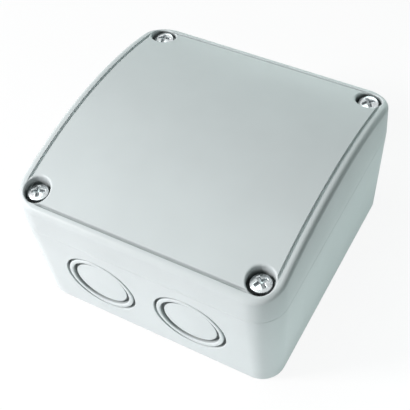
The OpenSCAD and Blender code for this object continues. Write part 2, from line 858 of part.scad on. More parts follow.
module button_housings() {
  color(black_colour) for (place = [learn_at, test_at]) on_board(place) difference() {
    bevelled_block(button_side, button_side, button_h, edge_bevel / 2);
    translate([0, 0, button_h / 2]) cylinder(r = plunger_r + run_fit, h = button_h);
  }
}

// A push button, free to sink by its travel
module plunger(place) {
  low = button_h / 2 + plunger_travel + guide_play;
  on_board(place) translate([0, 0, low]) cylinder(r = plunger_r, h = button_h + plunger_out - low);
}

module learn_button() {
  color("firebrick") plunger(learn_at);
}

module test_button() {
  color("gainsboro") plunger(test_at);
}

function lever_x(i) = (i - (levers - 1) / 2) * lever_pitch;

module switch_housing() {
  slot_len = lever_len + lever_travel + 2 * guide_play;
  color([0.70, 0.12, 0.12]) on_board(switch_at) difference() {
    bevelled_block(switch_w, switch_d, switch_h, edge_bevel / 2);
    for (i = [0:levers - 1])
      translate([lever_x(i), 0, switch_h - lever_sunk - guide_play])
        block(lever_w + 2 * guide_play, slot_len, switch_h);
  }
}

module switch_lever(i) {
  color("white") on_board(switch_at)
    translate([lever_x(i), -lever_travel / 2, switch_h - lever_sunk]) block(lever_w, lever_len, lever_h);
}

module trimmer_body() {
  color([0.12, 0.30, 0.60]) on_board(trimmer_at) difference() {
    bevelled_block(trimmer_side, trimmer_side, trimmer_h, edge_bevel / 2);
    translate([0, 0, trimmer_h - rotor_sunk - guide_play]) cylinder(r = rotor_r + run_fit, h = trimmer_h);
  }
}

module trimmer_rotor() {
  color("white") on_board(trimmer_at) translate([0, 0, trimmer_h - rotor_sunk]) difference() {
    cylinder(r = rotor_r, h = rotor_h);
    translate([0, 0, rotor_h - slot_depth]) block(2 * rotor_r + over, slot_w, over);
  }
}

// A can capacitor with a score across its top
module can(place, r, h) {
  on_board(place) difference() {
    cylinder(r = r, h = h);
    for (quarter = [0, 90]) rotate([0, 0, quarter])
      translate([0, 0, h - vent_depth]) block(r, vent_w, h);
  }
}

module capacitors() {
  color([0.12, 0.14, 0.22]) {
    can(big_cap_at, big_cap_r, big_cap_h);
    can(small_cap_at, small_cap_r, small_cap_h);
  }
}

module varistor() {
  color([0.16, 0.30, 0.60]) on_board(varistor_at) {
    translate([-varistor_t / 2, 0, varistor_lift + varistor_r]) rotate([0, 90, 0])
      cylinder(r = varistor_r, h = varistor_t);
    for (side = [-1, 1]) translate([0, side * varistor_lead_gap / 2, 0])
      cylinder(r = varistor_lead_r, h = varistor_lift + varistor_r);
  }
}

module bridge_rectifier() {
  color(black_colour) on_board(bridge_at) difference() {
    cylinder(r = bridge_r, h = bridge_h);
    translate([bridge_r, 0, bridge_h / 2]) block(edge_bevel, 2 * bridge_r, bridge_h);
  }
}

// Upright regulator: moulded body, metal tab with its hole, three leads
module voltage_regulator() {
  color(black_colour) on_board(regulator_at) {
    translate([0, 0, regulator_lift]) block(regulator_w, regulator_t, regulator_h);
    difference() {
      translate([0, (regulator_t - tab_t) / 2, regulator_lift])
        block(regulator_w, tab_t, regulator_h + tab_h);
      translate([0, regulator_t, regulator_lift + regulator_h + tab_h / 2]) rotate([90, 0, 0])
        cylinder(r = tab_hole_r, h = 2 * regulator_t);
    }
    for (i = [-1:1]) translate([i * regulator_pitch, 0, 0])
      block(regulator_lead, regulator_lead, regulator_lift + over);
  }
}

module jumper_header() {
  color(black_colour) on_board(jumper_at) rotate([0, 0, 90]) {
    block(jumper_pins * pin_pitch, strip_d, strip_h);
    for (i = [0:jumper_pins - 1]) translate([(i - (jumper_pins - 1) / 2) * pin_pitch, 0, 0])
      block(pin_side, pin_side, strip_h + pin_out);
  }
}

// Pull-off cap over the first two pins
module jumper_cap() {
  w = 2 * pin_pitch - 2 * guide_play;
  color("royalblue") on_board(jumper_at) rotate([0, 0, 90])
    translate([-pin_pitch / 2, 0, strip_h + seat_gap]) difference() {
      block(w, jumper_hole + 2 * cap_wall, jumper_cap_h);
      for (side = [-1, 1]) translate([side * pin_pitch / 2, 0, -over])
        block(jumper_hole, jumper_hole, pin_out + 2 * over);
    }
}

base_shell();
gasket();
lid();
for (i = [0:3]) {
  lid_screw(i);
  seal(i);
}
circuit_board();
board_screws();
transformer();
relay(relay_open_at);  // relay_open
relay(relay_close_at);  // relay_close
fuse_clips();
fuse_glass();
fuse_caps();
terminal_housing(power_x, power_ways);  // power_terminal_housing
for (i = [0:power_ways - 1]) {
  clamp_screw(power_way_x(i));
  clamp_cage(power_way_x(i));
}
terminal_housing(control_x, control_ways);  // control_terminal_housing
for (i = [0:control_ways - 1]) {
  clamp_screw(control_way_x(i));
  clamp_cage(control_way_x(i));
}
terminal_contacts();
microcontroller();
microcontroller_leads();
radio_board();
radio_shield();
radio_header();
antenna_wire();
power_lamp();
status_lamp();
button_housings();
learn_button();
test_button();
switch_housing();
for (i = [0:levers - 1]) {
  switch_lever(i);
}
trimmer_body();
trimmer_rotor();
capacitors();
varistor();
bridge_rectifier();
voltage_regulator();
jumper_header();
jumper_cap();
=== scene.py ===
import json
import math

import bmesh
import bpy
import numpy as np
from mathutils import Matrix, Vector, geometry


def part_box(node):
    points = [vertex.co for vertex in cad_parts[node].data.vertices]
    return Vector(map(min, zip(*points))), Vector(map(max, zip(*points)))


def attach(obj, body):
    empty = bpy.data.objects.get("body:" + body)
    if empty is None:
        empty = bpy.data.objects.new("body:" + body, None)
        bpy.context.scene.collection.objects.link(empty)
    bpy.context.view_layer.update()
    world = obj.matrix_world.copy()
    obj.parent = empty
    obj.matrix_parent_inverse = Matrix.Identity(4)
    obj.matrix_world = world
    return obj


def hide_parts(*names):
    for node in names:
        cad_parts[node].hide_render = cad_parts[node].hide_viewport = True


# Square door controller: arched lid on a deep base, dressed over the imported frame.
# Shapes are worked out in millimetres in the frame's own axes and stored in metres.

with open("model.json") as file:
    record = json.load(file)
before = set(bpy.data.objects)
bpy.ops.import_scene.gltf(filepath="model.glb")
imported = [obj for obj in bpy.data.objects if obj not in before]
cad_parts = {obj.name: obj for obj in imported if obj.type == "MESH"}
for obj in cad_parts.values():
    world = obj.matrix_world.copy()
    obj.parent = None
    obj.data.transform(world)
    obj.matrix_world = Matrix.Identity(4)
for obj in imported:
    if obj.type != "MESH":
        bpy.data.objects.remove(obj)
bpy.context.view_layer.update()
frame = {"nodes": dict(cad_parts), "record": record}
cadNodes = frame["nodes"]
scene = bpy.context.scene
print("frame loaded:", len(cadNodes), "nodes")

caseSize = {
    "half": 45.0,  # half the case across the parting line
    "cornerR": 9.6,
    "parting": 37.5,
    "crown": 55.0,
    "rim": 47.0,  # height of the arch over the front and back edges
    "baseLean": 1.9,  # how far each base wall leans in at the ground
    "wall": 2.5,
    "screwAt": 37.75,
    "wellR": 4.2,
    "shankHoleR": 2.05,
}
caseHalf, screwAt, wellR = (caseSize[key] for key in ("half", "screwAt", "wellR"))


# grids and skins

def quadsOf(rows, cols, wrapCols):
    # quads between neighbours of a grid kept row by row, wrapped round if asked
    i, j = np.meshgrid(np.arange(rows - 1), np.arange(cols if wrapCols else cols - 1), indexing="ij")
    k = (j + 1) % cols
    return np.stack([i * cols + j, (i + 1) * cols + j, (i + 1) * cols + k, i * cols + k], -1).reshape(-1, 4)


def gridSkin(points, wrapCols=False, flip=False):
    # faces look along (down the rows) x (along the columns), or the other way when flipped
    quads = quadsOf(*points.shape[:2], wrapCols)
    return points.reshape(-1, 3), quads[:, ::-1] if flip else quads


def plan(x, y, z):
    # three arrays that stretch to one another's shape, as one array of points
    return np.stack(np.broadcast_arrays(x, y, z), -1).astype(float)


def quarterTurns(x, y, times):
    # a plan turned anticlockwise by quarter turns about the middle
    for _ in range(times):
        x, y = -y, x
    return x, y


def roundTurn(count):
    # angles spread evenly over one turn
    return np.linspace(0, 2 * np.pi, count, endpoint=False)


def unitRows(rows):
    # each row made one long
    return rows / np.linalg.norm(rows, axis=1, keepdims=True)


def ringRows(inner, outer, low, high):
    # closed profile of a flat ring
    return [(inner, low), (inner, high), (outer, high), (outer, low), (inner, low)]


def fourTurns(x, y):
    # a plan and its three quarter turns, one after another
    return np.concatenate([quarterTurns(x, y, k) for k in range(4)], 1)


def fourAbout(x, y, midY=0.0):
    # four places about the middle, anticlockwise from the front left
    return [(sx * x, midY + sy * y) for sx, sy in ((-1, -1), (1, -1), (1, 1), (-1, 1))]


def roundSkin(radii, heights, angles, centre, flip=False):
    # a grid of radii and heights carried round an upright axis
    x = centre[0] + radii * np.cos(angles)
    y = centre[1] + radii * np.sin(angles)
    return gridSkin(plan(x, y, heights), True, flip)


def turned(profile, cols, centre, flip=False):
    # one profile of [radius, height] rows, the same all round
    rows = np.array(profile, float)
    return roundSkin(rows[:, :1], rows[:, 1:], roundTurn(cols), centre, flip)


def flatSkin(outer, holes, z, lookUp):
    # a level face inside a loop of plan points, with round holes left out, cut into triangles
    loops = [outer] + holes
    tris = np.array(geometry.tessellate_polygon([[Vector((*p, 0)) for p in loop] for loop in loops]))
    flat = np.concatenate(loops)
    (bx, by), (cx, cy) = ((flat[tris[:, k]] - flat[tris[:, 0]]).T for k in (1, 2))
    wrong = (bx * cy - by * cx > 0) != lookUp
    tris[wrong] = tris[wrong][:, ::-1]
    return plan(*flat.T, z), tris


def ringPoints(centre, r, count=40):
    # plan points spread evenly on a circle, anticlockwise
    a = roundTurn(count)
    return np.stack([centre[0] + r * np.cos(a), centre[1] + r * np.sin(a)], -1)


def eased(corners, lengths, steps=4):
    # a bent line whose inner corners are each softened over their own length by a parabola
    line = np.array(corners, float)
    t = np.linspace(0, 1, steps + 1)[:, None]
    rows = [line[:1]]
    for before, at, after, length in zip(line, line[1:], line[2:], lengths):
        a = at + (before - at) / np.linalg.norm(before - at) * length
        b = at + (after - at) / np.linalg.norm(after - at) * length
        rows.append((1 - t) ** 2 * a + 2 * t * (1 - t) * at + t ** 2 * b)
    return np.concatenate(rows + [line[-1:]])


def roundedLoop(low, high, r, inset, steps=5):
    # rounded rectangle drawn in from two plan corners, anticlockwise
    turn = np.concatenate([np.linspace(0, np.pi / 2, steps + 1) + k * np.pi / 2 for k in range(4)])
    r = max(r - inset, 0.08)
    far = inset + r
    midX = np.repeat([high[0] - far, low[0] + far, low[0] + far, high[0] - far], steps + 1)
    midY = np.repeat([high[1] - far, high[1] - far, low[1] + far, low[1] + far], steps + 1)
    return np.stack([midX + r * np.cos(turn), midY + r * np.sin(turn)], -1)


def boxSkins(low, high, r, rows):
    # a rounded rectangle carried up rows of [inset, height] and closed at both ends
    loops = [roundedLoop(low, high, r, inset) for inset, _ in rows]
    levels = [plan(*loop.T, row[1]) for loop, row in zip(loops, rows)]
    ends = [flatSkin(loops[k], [], rows[k][1], k < 0) for k in (0, -1)]
    return [gridSkin(np.stack(levels), True, True)] + ends


def ribbonSkin(path, wide, low, high):
    # a flat bar carried along a plan path, its corners mitred and its ends closed
    line = np.array(path, float)
    step = unitRows(np.diff(line, axis=0))
    before, after = np.concatenate([step[:1], step]), np.concatenate([step, step[-1:]])
    side = np.stack([-(before + after)[:, 1], (before + after)[:, 0]], -1)
    side = side / np.sum(side * np.stack([-after[:, 1], after[:, 0]], -1), 1, keepdims=True) * wide / 2
    line, side = line[[0, *range(len(line)), -1]], side[[0, *range(len(side)), -1]]
    across = line[:, None] + side[:, None] * np.array([1, 1, -1, -1])[None, :, None]
    heights = np.full(across.shape[:2], low)
    heights[1:-1, 1:3] = high
    return gridSkin(plan(across[..., 0], across[..., 1], heights), True, True)


def wireSkin(path, r, cols=10):
    # a round wire carried along a path of points, closed to a point at both ends
    line = np.array(path, float)
    way = unitRows(np.gradient(line, axis=0))
    across = unitRows(np.cross(way, [0.31, 0.17, 0.93]))
    other = np.cross(way, across)
    a = roundTurn(cols)[None, :, None]
    reach = np.full((len(line), 1, 1), r)
    reach[[0, -1]] = 0
    ring = line[:, None] + reach * (across[:, None] * np.cos(a) + other[:, None] * np.sin(a))
    return gridSkin(ring, True, True)


def millimetres(node):
    # low and high corner of a node's box
    return [np.array(corner) * 1000 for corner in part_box(node)]


def buildPiece(name, skins, slotName, body, nodeNames, sharp=38):
    # skins laid one after another in one mesh, meeting points welded, shaded smooth up to a crease angle
    starts = np.cumsum([0] + [len(s[0]) for s in skins[:-1]])
    points = np.concatenate([s[0] for s in skins]) * 0.001
    faces = [s[1] + k for s, k in zip(skins, starts)]
    corners = np.concatenate([f.ravel() for f in faces])
    counts = np.concatenate([np.full(len(f), f.shape[1]) for f in faces])
    mesh = bpy.data.meshes.new(name)
    mesh.vertices.add(len(points))
    mesh.vertices.foreach_set("co", points.astype(np.float32).ravel())
    mesh.loops.add(len(corners))
    mesh.loops.foreach_set("vertex_index", corners.astype(np.int32))
    mesh.polygons.add(len(counts))
    mesh.polygons.foreach_set("loop_start", (np.cumsum(counts) - counts).astype(np.int32))
    mesh.update(calc_edges=True)
    work = bmesh.new()
    work.from_mesh(mesh)
    bmesh.ops.remove_doubles(work, verts=work.verts, dist=2e-6)
    bmesh.ops.dissolve_degenerate(work, edges=work.edges, dist=1e-7)
    work.to_mesh(mesh)
    work.free()
    mesh.polygons.foreach_set("use_smooth", np.ones(len(mesh.polygons), bool))
    mesh.set_sharp_from_angle(angle=math.radians(sharp))
    mesh.materials.append(finishes[slotName])
    piece = bpy.data.objects.new(name, mesh)
    scene.collection.objects.link(piece)
    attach(piece, body)
    if nodeNames:
        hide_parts(*nodeNames)
    print(name, len(mesh.polygons), "faces")
    return piece


def markPiece(piece, name, valueAt, *more):
    # one number for each point, from its place in millimetres, kept on the mesh for the finish to read
    mesh = piece.data
    spots = np.zeros(len(mesh.vertices) * 3, np.float32)
    mesh.vertices.foreach_get("co", spots)
    values = valueAt(spots.reshape(-1, 3).astype(float) * 1000, *more)
    mark = mesh.attributes.new(name, "FLOAT", "POINT")
    mark.data.foreach_set("value", np.asarray(values).astype(np.float32))


# finishes

def setSockets(tree, node, sockets):
    # each socket takes a number or a colour, or is fed from another node's output
    for name, value in sockets.items():
        if isinstance(value, bpy.types.NodeSocket):
            tree.links.new(value, node.inputs[name])
        else:
            node.inputs[name].default_value = value


def addNode(tree, kind, sockets, **settings):
    # a new node, its settings made first and its sockets after
    node = tree.nodes.new("ShaderNode" + kind)
    for name, value in settings.items():
        setattr(node, name, value)
    setSockets(tree, node, sockets)
    return node


def mathOf(tree, operation, *terms):
    # one sum on numbers and fields
    return addNode(tree, "Math", dict(enumerate(terms)), operation=operation).outputs["Value"]


def startFinish(name):
    # a new material with its node tree and shader
    finish = bpy.data.materials.new(name)
    finish.use_nodes = True
    tree = finish.node_tree
    return finish, tree, tree.nodes["Principled BSDF"]


def noiseAt(tree, scale, detail, rough=0.55):
    # a noise field on the piece's own metres
    place = addNode(tree, "TexCoord", {}).outputs["Object"]
    field = addNode(tree, "TexNoise", {"Vector": place, "Scale": scale, "Detail": detail, "Roughness": rough})
    return field.outputs["Fac"]


def rampOf(tree, source, stops, blend="LINEAR"):
    # a field turned into colours along a row of [position, colour] stops
    ramp = addNode(tree, "ValToRGB", {"Fac": source})
    band = ramp.color_ramp
    band.interpolation = blend
    while len(band.elements) < len(stops):
        band.elements.new(0.5)
    for element, (at, colour) in zip(band.elements, stops):
        element.position = at
        element.color = (*colour, 1)
    return ramp.outputs["Color"]


def rangeOf(tree, source, low, high):
    # the middle part of a field spread between two numbers
    span = {"Value": source, "From Min": 0.3, "From Max": 0.7, "To Min": low, "To Max": high}
    return addNode(tree, "MapRange", span).outputs["Result"]


def reliefOf(tree, source, strength, depth):
    # normals that follow a field as a fine relief
    relief = {"Strength": strength, "Distance": depth, "Height": source}
    return addNode(tree, "Bump", relief).outputs["Normal"]


def toneOf(tree, field, colour, spread, start, recess=None):
    # a colour drifting from a darker to a paler shade along a field, with painted shade where the mesh is
    # marked as cut in
    shades = [[min(1.0, c * k) for c in colour] for k in (1 - spread, 1 + spread)]
    tone = rampOf(tree, field, list(zip((start, 1 - start), shades)))
    if not recess:
        return tone
    cut = addNode(tree, "Attribute", {}, attribute_name="recess").outputs["Fac"]
    dull = addNode(tree, "Mix", {"Factor": cut, "A": tone, "B": (*recess, 1)}, data_type="RGBA")
    return dull.outputs["Result"]


def mouldedFinish(name, colour, rough, spread, grain=3200, depth=2e-5, specular=0.5, recess=None):
    # moulded plastic: slow drift of tone, fine eroded grain, sheen that varies with the grain
    finish, tree, shader = startFinish(name)
    fine = noiseAt(tree, grain, 4)
    setSockets(tree, shader, {
        "Base Color": toneOf(tree, noiseAt(tree, 55, 2), colour, spread, 0.3, recess),
        "Roughness": rangeOf(tree, fine, rough - 0.05, rough + 0.05),
        "Normal": reliefOf(tree, fine, 0.35, depth),
        "Specular IOR Level": specular,
    })
    return finish


def platedFinish(name, colour, rough, spread=0.06, recess=None):
    # plated metal: drawn streaks and small pits in a bright coat, with painted shade in cuts
    finish, tree, shader = startFinish(name)
    streak = noiseAt(tree, 1500, 5, 0.65)
    setSockets(tree, shader, {
        "Base Color": toneOf(tree, streak, colour, spread, 0.35, recess),
        "Roughness": rangeOf(tree, streak, rough - 0.06, rough + 0.08),
        "Normal": reliefOf(tree, streak, 0.25, 1e-5),
        "Metallic": 1.0,
    })
    return finish


def clearFinish(name, colour, rough, through):
    # clear or tinted resin and glass, with faint flow marks
    finish, tree, shader = startFinish(name)
    flow = noiseAt(tree, 400, 2)
    setSockets(tree, shader, {
        "Base Color": toneOf(tree, flow, colour, 0.06, 0.3),
        "Roughness": rangeOf(tree, flow, rough - 0.03, rough + 0.03),
        "Transmission Weight": through,
        "IOR": 1.5,
    })
    return finish


def layLooks(tree, shader, level, at, looks, grain=1400):
    # flat steps of [colour, roughness, metal] laid at their shares of a field, each with a fine grain
    fine = noiseAt(tree, grain, 4)
    colours, *numbers = zip(*looks)
    rough, metal = ([(k, k, k) for k in row] for row in numbers)
    steps = [rampOf(tree, level, list(zip(at, row)), "CONSTANT") for row in (colours, rough, metal)]
    tone = {"Factor": 1.0, "A": steps[0], "B": rangeOf(tree, fine, 0.86, 1.08)}
    setSockets(tree, shader, {
        "Base Color": addNode(tree, "Mix", tone, data_type="RGBA", blend_type="MULTIPLY").outputs["Result"],
        "Roughness": steps[1],
        "Metallic": steps[2],
        "Normal": reliefOf(tree, fine, 0.25, 1e-5),
    })


def layeredFinish(name, looks, grain=1400):
    # one look for each whole number of the layer marked on the mesh
    finish, tree, shader = startFinish(name)
    mark = addNode(tree, "Attribute", {}, attribute_name="layer").outputs["Fac"]
    at = [max(0, (k - 0.5) / len(looks)) for k in range(len(looks))]
    layLooks(tree, shader, mathOf(tree, "DIVIDE", mark, len(looks)), at, looks, grain)
    return finish


def bandFinish(name, looks, bands):
    # second look inside the bands [axis, low, high] in millimetres of the frame, first look elsewhere
    finish, tree, shader = startFinish(name)
    axes = addNode(tree, "SeparateXYZ", {"Vector": addNode(tree, "TexCoord", {}).outputs["Object"]})
    inside = 0.0
    for axis, low, high in bands:
        within = mathOf(tree, "COMPARE", axes.outputs[axis], (low + high) / 2000, (high - low) / 2000)
        inside = mathOf(tree, "MAXIMUM", inside, within)
    layLooks(tree, shader, inside, [0, 0.5], looks)
    return finish


caseTone = (0.64, 0.69, 0.69)
casePaintedShade = (0.2, 0.225, 0.225)  # painted shade in the narrow cuts, where little light reaches
# the second zinc colour is painted shade in the screws' cross recesses
zincTone, zincCutShade = (0.6, 0.63, 0.64), (0.29, 0.31, 0.32)
boardLooks = [((0.01, 0.095, 0.038), 0.26, 0.0), ((0.03, 0.22, 0.075), 0.24, 0.0),
              ((0.74, 0.74, 0.71), 0.3, 1.0), ((0.7, 0.72, 0.69), 0.55, 0.0)]  # mask, track, tin and print
sleeveLooks = [((0.014, 0.017, 0.065), 0.24, 0.0), ((0.42, 0.45, 0.5), 0.3, 0.0),
               ((0.66, 0.67, 0.68), 0.3, 1.0)]  # sleeve, stripe and bare top
varistorLooks = [((0.03, 0.12, 0.42), 0.2, 0.0), ((0.7, 0.7, 0.68), 0.3, 1.0)]  # coating and lead
finishes = {
    "case_grey": mouldedFinish("pale grey case plastic", caseTone, 0.42, 0.018, 2600, 2.5e-5, 0.28, casePaintedShade),
    "zinc_steel": platedFinish("bright zinc plate", zincTone, 0.28, 0.12, zincCutShade),
    "seal_black": mouldedFinish("black sealing rubber", (0.026, 0.028, 0.028), 0.62, 0.2, 1800, 3e-5, 0.35),
    "board_green": layeredFinish("green solder mask", boardLooks, 900),
    "black_plastic": mouldedFinish("black component plastic", (0.02, 0.02, 0.022), 0.45, 0.2, 2200),
    "transformer_black": mouldedFinish("potted transformer case", (0.03, 0.03, 0.033), 0.5, 0.2, 1500, 3e-5),
    "relay_blue": mouldedFinish("blue relay case", (0.02, 0.08, 0.36), 0.3, 0.08, 1600, 1e-5),
    "brass": platedFinish("stamped brass", (0.72, 0.52, 0.22), 0.28),
    "tin_plate": platedFinish("tin plate", (0.76, 0.76, 0.74), 0.26),
    "clear_glass": clearFinish("clear glass", (0.93, 0.97, 0.97), 0.04, 1.0),
    "terminal_green": mouldedFinish("green terminal plastic", (0.03, 0.21, 0.08), 0.4, 0.08, 2200),
    "copper_wire": platedFinish("enamelled copper", (0.6, 0.26, 0.12), 0.3),
    "lamp_green": clearFinish("green lamp resin", (0.1, 0.62, 0.16), 0.1, 0.6),
    "lamp_red": clearFinish("red lamp resin", (0.7, 0.03, 0.02), 0.1, 0.6),
    "button_red": mouldedFinish("red button plastic", (0.42, 0.015, 0.012), 0.4, 0.08),
    "button_white": mouldedFinish("white button plastic", (0.72, 0.72, 0.69), 0.4, 0.03),
    "switch_red": mouldedFinish("red switch plastic", (0.34, 0.012, 0.012), 0.42, 0.08),
    "lever_white": mouldedFinish("white lever plastic", (0.76, 0.76, 0.73), 0.4, 0.03),
    "trimmer_blue": mouldedFinish("blue trimmer plastic", (0.02, 0.07, 0.34), 0.42, 0.08),
    "sleeve_navy": layeredFinish("shrink sleeve and can", sleeveLooks),
    "varistor_blue": layeredFinish("dipped disc and leads", varistorLooks, 500),
    "jumper_blue": mouldedFinish("blue jumper plastic", (0.02, 0.05, 0.38), 0.4, 0.08),
}
for row in frame["record"]["subparts"]:
    for place in cadNodes[row["node"]].material_slots:
        place.material = finishes[row["material_slot"]]
blackLook, tinLook = ((0.02, 0.02, 0.022), 0.42, 0.0), ((0.76, 0.76, 0.74), 0.26, 1.0)
stripTop, pinTop = 13.1, 30  # top of a pin header's moulded strip, and a height over its pins
bandLooks = {
    "jumper_header": [["Z", stripTop, pinTop]],
    "radio_header": [["Z", stripTop, pinTop]],
    "voltage_regulator": [["Z", 10, 14.6], ["Z", 23.6, 31], ["Y", -0.38, 2]],  # leads, end of the tab, tab
}
for node, bands in bandLooks.items():
    for place in cadNodes[node].material_slots:
        title = node.replace("_", " ") + " metal and plastic"
        place.material = bandFinish(title, [blackLook, tinLook], bands)
print("finishes laid:", len(finishes) + len(bandLooks))


# lid

sealLow, sealHigh = (corner[2] for corner in millimetres("seal_front_left"))
screwLow, screwHigh = (corner[2] for corner in millimetres("lid_screw_front_left"))
lidSize = {
    "lean": 0.25,  # lid walls lean in by this much at the rim
    "sideEnd": 31.8,  # where the straight strips end and the corner blocks begin
    "sideSteps": 40,
    "cornerSteps": (6, 26),  # straight run and arc of a corner block
    "fillet": 1.6,
    "grooveAt": 2.85,  # middle of the groove, in from the rim outline
    "grooveHalf": 0.5,
    "grooveDepth": 0.9,
    "grooveFlank": 2.2,  # steepness of the groove's sides
    "grooveEnd": 1.8,  # length over which the groove runs out towards a well
    "grooveShade": 0.6,  # share of the painted shade at the front and back
    "sideShade": 0.15,  # and along the arched sides
    "shadeFlank": 1.8,
    "wellShade": 0.9,
    "wellFade": 1.6,  # depth at which a well has its full share of painted shade
    "mouth": 0.65,  # rounding round each well
    "wellFloor": sealLow - 0.1,
    "thick": 2.5,
    "under": 37.48,
    "lipIn": 3.06,  # lip's outer face, in from the parting outline
    "lipUnder": 34.5,
    "edge": [(0.5, 37.48), (0.5, 38.7), (1.8, 38.7), (1.8, 37.48), (2.8, 37.48), (2.8, 34.5), (4.2, 34.5),
             (4.2, 39.85), (2.25, 41.8), (2.3, 44)],  # seal's channel, lip and inner wall: inset and height
    "bends": (0.16, 0.08, 0.08, 0.08, 0.08, 0.15, 0.3, 0.3, 0.4, 0.4),  # easing of the underside's corners
    "ceilIn": 2.3,  # where the inner wall meets the ceiling, in from the rim outline
    "rays": 40,  # steps from a well to the edge of its corner block
    "rayBends": (-4.65, -4.15, -3.65, -2.2),  # distances from the well's middle where the rays change
    "raySwing": (104, 91.7, 74.1, 60.2, 31, -45),  # degrees at the rim, at each bend and at the strip
    "pillarR": 5.4,
}
rimHalf = caseHalf - lidSize["lean"]
rimCorner = caseSize["cornerR"] - lidSize["lean"]
archRise = caseSize["crown"] - caseSize["rim"]
archR = (caseHalf ** 2 + archRise ** 2) / (2 * archRise)


def archTop(y):
    # height of the round arch that runs from front to back
    return caseSize["crown"] - archR + np.sqrt(archR ** 2 - np.asarray(y) ** 2)


def insideBy(x, y, half, cornerR):
    # distance of a plan point in from the rounded square outline
    qx = np.abs(x) - (half - cornerR)
    qy = np.abs(y) - (half - cornerR)
    out = np.hypot(np.maximum(qx, 0), np.maximum(qy, 0)) + np.minimum(np.maximum(qx, qy), 0)
    return cornerR - out


def roundDrop(d, r):
    # fall of a quarter round of radius r at a distance d in from its edge
    near = np.clip(r - d, 0, r)
    return r - np.sqrt(np.maximum(r * r - near * near, 0))


def smoothStep(t):
    # 3t² - 2t³ between 0 and 1
    t = np.clip(t, 0, 1)
    return t * t * (3 - 2 * t)


def wellReach(x, y):
    # distance of a plan point from the nearest screw's axis
    return np.hypot(np.abs(x) - screwAt, np.abs(y) - screwAt)


def offGroove(x, y):
    # distance of a plan point from the middle of the groove, 1 at the groove's edges
    return np.abs(insideBy(x, y, rimHalf, rimCorner) - lidSize["grooveAt"]) / lidSize["grooveHalf"]


def lidTop(x, y):
    # arch, less the rim's quarter round, the groove and the rounding into each well
    s = lidSize
    past = wellReach(x, y) - wellR
    groove = smoothStep((1 - offGroove(x, y)) * s["grooveFlank"]) * smoothStep(past / s["grooveEnd"])
    rim = roundDrop(insideBy(x, y, rimHalf, rimCorner), s["fillet"])
    return archTop(y) - rim - s["grooveDepth"] * groove - roundDrop(past, s["mouth"])


def rimOutline(half, cornerR, sideEnd, sideSteps, straightSteps, arcSteps):
    # closed loop round the rounded square: points and outward directions, front side first, anticlockwise
    along = np.linspace(-sideEnd, sideEnd, sideSteps + 1)
    mid = half - cornerR
    turn = np.linspace(-np.pi / 2, 0, arcSteps + 1)
    arc = np.stack([mid + cornerR * np.cos(turn), cornerR * np.sin(turn) - mid, np.cos(turn), np.sin(turn)])
    corner = arc[:, 1:-1]
    if straightSteps:
        run = np.linspace(sideEnd, mid, straightSteps + 1)[1:-1]
        one = np.ones(len(run))
        ahead = np.stack([run, -half * one, 0 * one, -one])
        aside = np.stack([half * one, -run[::-1], one, 0 * one])
        corner = np.concatenate([ahead, arc, aside], 1)
    one = np.ones(len(along))
    x, y, nx, ny = np.concatenate([np.stack([along, -half * one, 0 * one, -one]), corner], 1)
    return *fourTurns(x, y), *fourTurns(nx, ny), corner[:2]


def lidAcross():
    # samples in from the rim: close together on the quarter round and the groove, wide on the panel
    r, mid, half = lidSize["fillet"], lidSize["grooveAt"], lidSize["grooveHalf"]
    onRound = r * (1 - np.cos(np.linspace(0, np.pi / 2, 11)))
    near = np.array([0.25, 0.5, 0.64, 0.76, 0.88, 1])
    onGroove = mid + half * np.concatenate([-near[::-1], [0], near])
    outside = np.linspace(r, mid - half, 9)[1:-1]
    inside = mid + half + np.array([0.08, 0.18, 0.3, 0.5, 0.8, 1.3, 2.2, 3.6, 5.4, 7.6, 9.6])
    return np.concatenate([onRound, outside, onGroove, inside, [rimHalf - lidSize["sideEnd"]]])


def wellAngles(across, cornerCount):
    # a ray's angle round the well for each point of a corner block's edge: almost level along the groove,
    # spread evenly round the outside
    far = rimHalf - screwAt
    near = screwAt - lidSize["sideEnd"]
    swing = np.interp(across - far, [-far, *lidSize["rayBends"], near], np.radians(lidSize["raySwing"]))
    first = np.pi + swing[::-1]
    last = np.pi * 2.5 - swing[:-1]
    return np.concatenate([first, np.linspace(first[-1], last[0], cornerCount + 2)[1:-1], last])


def cornerBlock(half, corner, across, angle, reach, shares):
    # rays from a ring round the screw's axis straight out to the edge of the corner block
    end = lidSize["sideEnd"]
    edgeX = np.concatenate([np.full(len(across), end), corner[0], half - across[:-1]])
    edgeY = np.concatenate([-half + across[::-1], corner[1], np.full(len(across) - 1, -end)])
    s = shares[:, None]
    ringX, ringY = screwAt + reach * np.cos(angle), reach * np.sin(angle) - screwAt
    return ringX * (1 - s) + edgeX * s, ringY * (1 - s) + edgeY * s


def sheetSkins(half, corner, across, angle, reach, shares, heightAt, lookDown):
    # one arched sheet: middle grid, four side strips and four corner blocks left open at the wells
    end = lidSize["sideEnd"]
    along = np.linspace(-end, end, lidSize["sideSteps"] + 1)
    strip = np.meshgrid(along, -half + across)
    block = cornerBlock(half, corner, across, angle, reach, shares)
    parts = [(np.meshgrid(along, along, indexing="ij"), False, lookDown)]
    for k in range(4):
        parts += [(quarterTurns(*strip, k), False, not lookDown), (quarterTurns(*block, k), True, lookDown)]
    return [gridSkin(plan(x, y, heightAt(x, y)), wrap, flip) for (x, y), wrap, flip in parts]


def ceilingAt(x, y):
    # the arch again, lower by the lid's thickness
    return archTop(y) - lidSize["thick"] + 0 * x


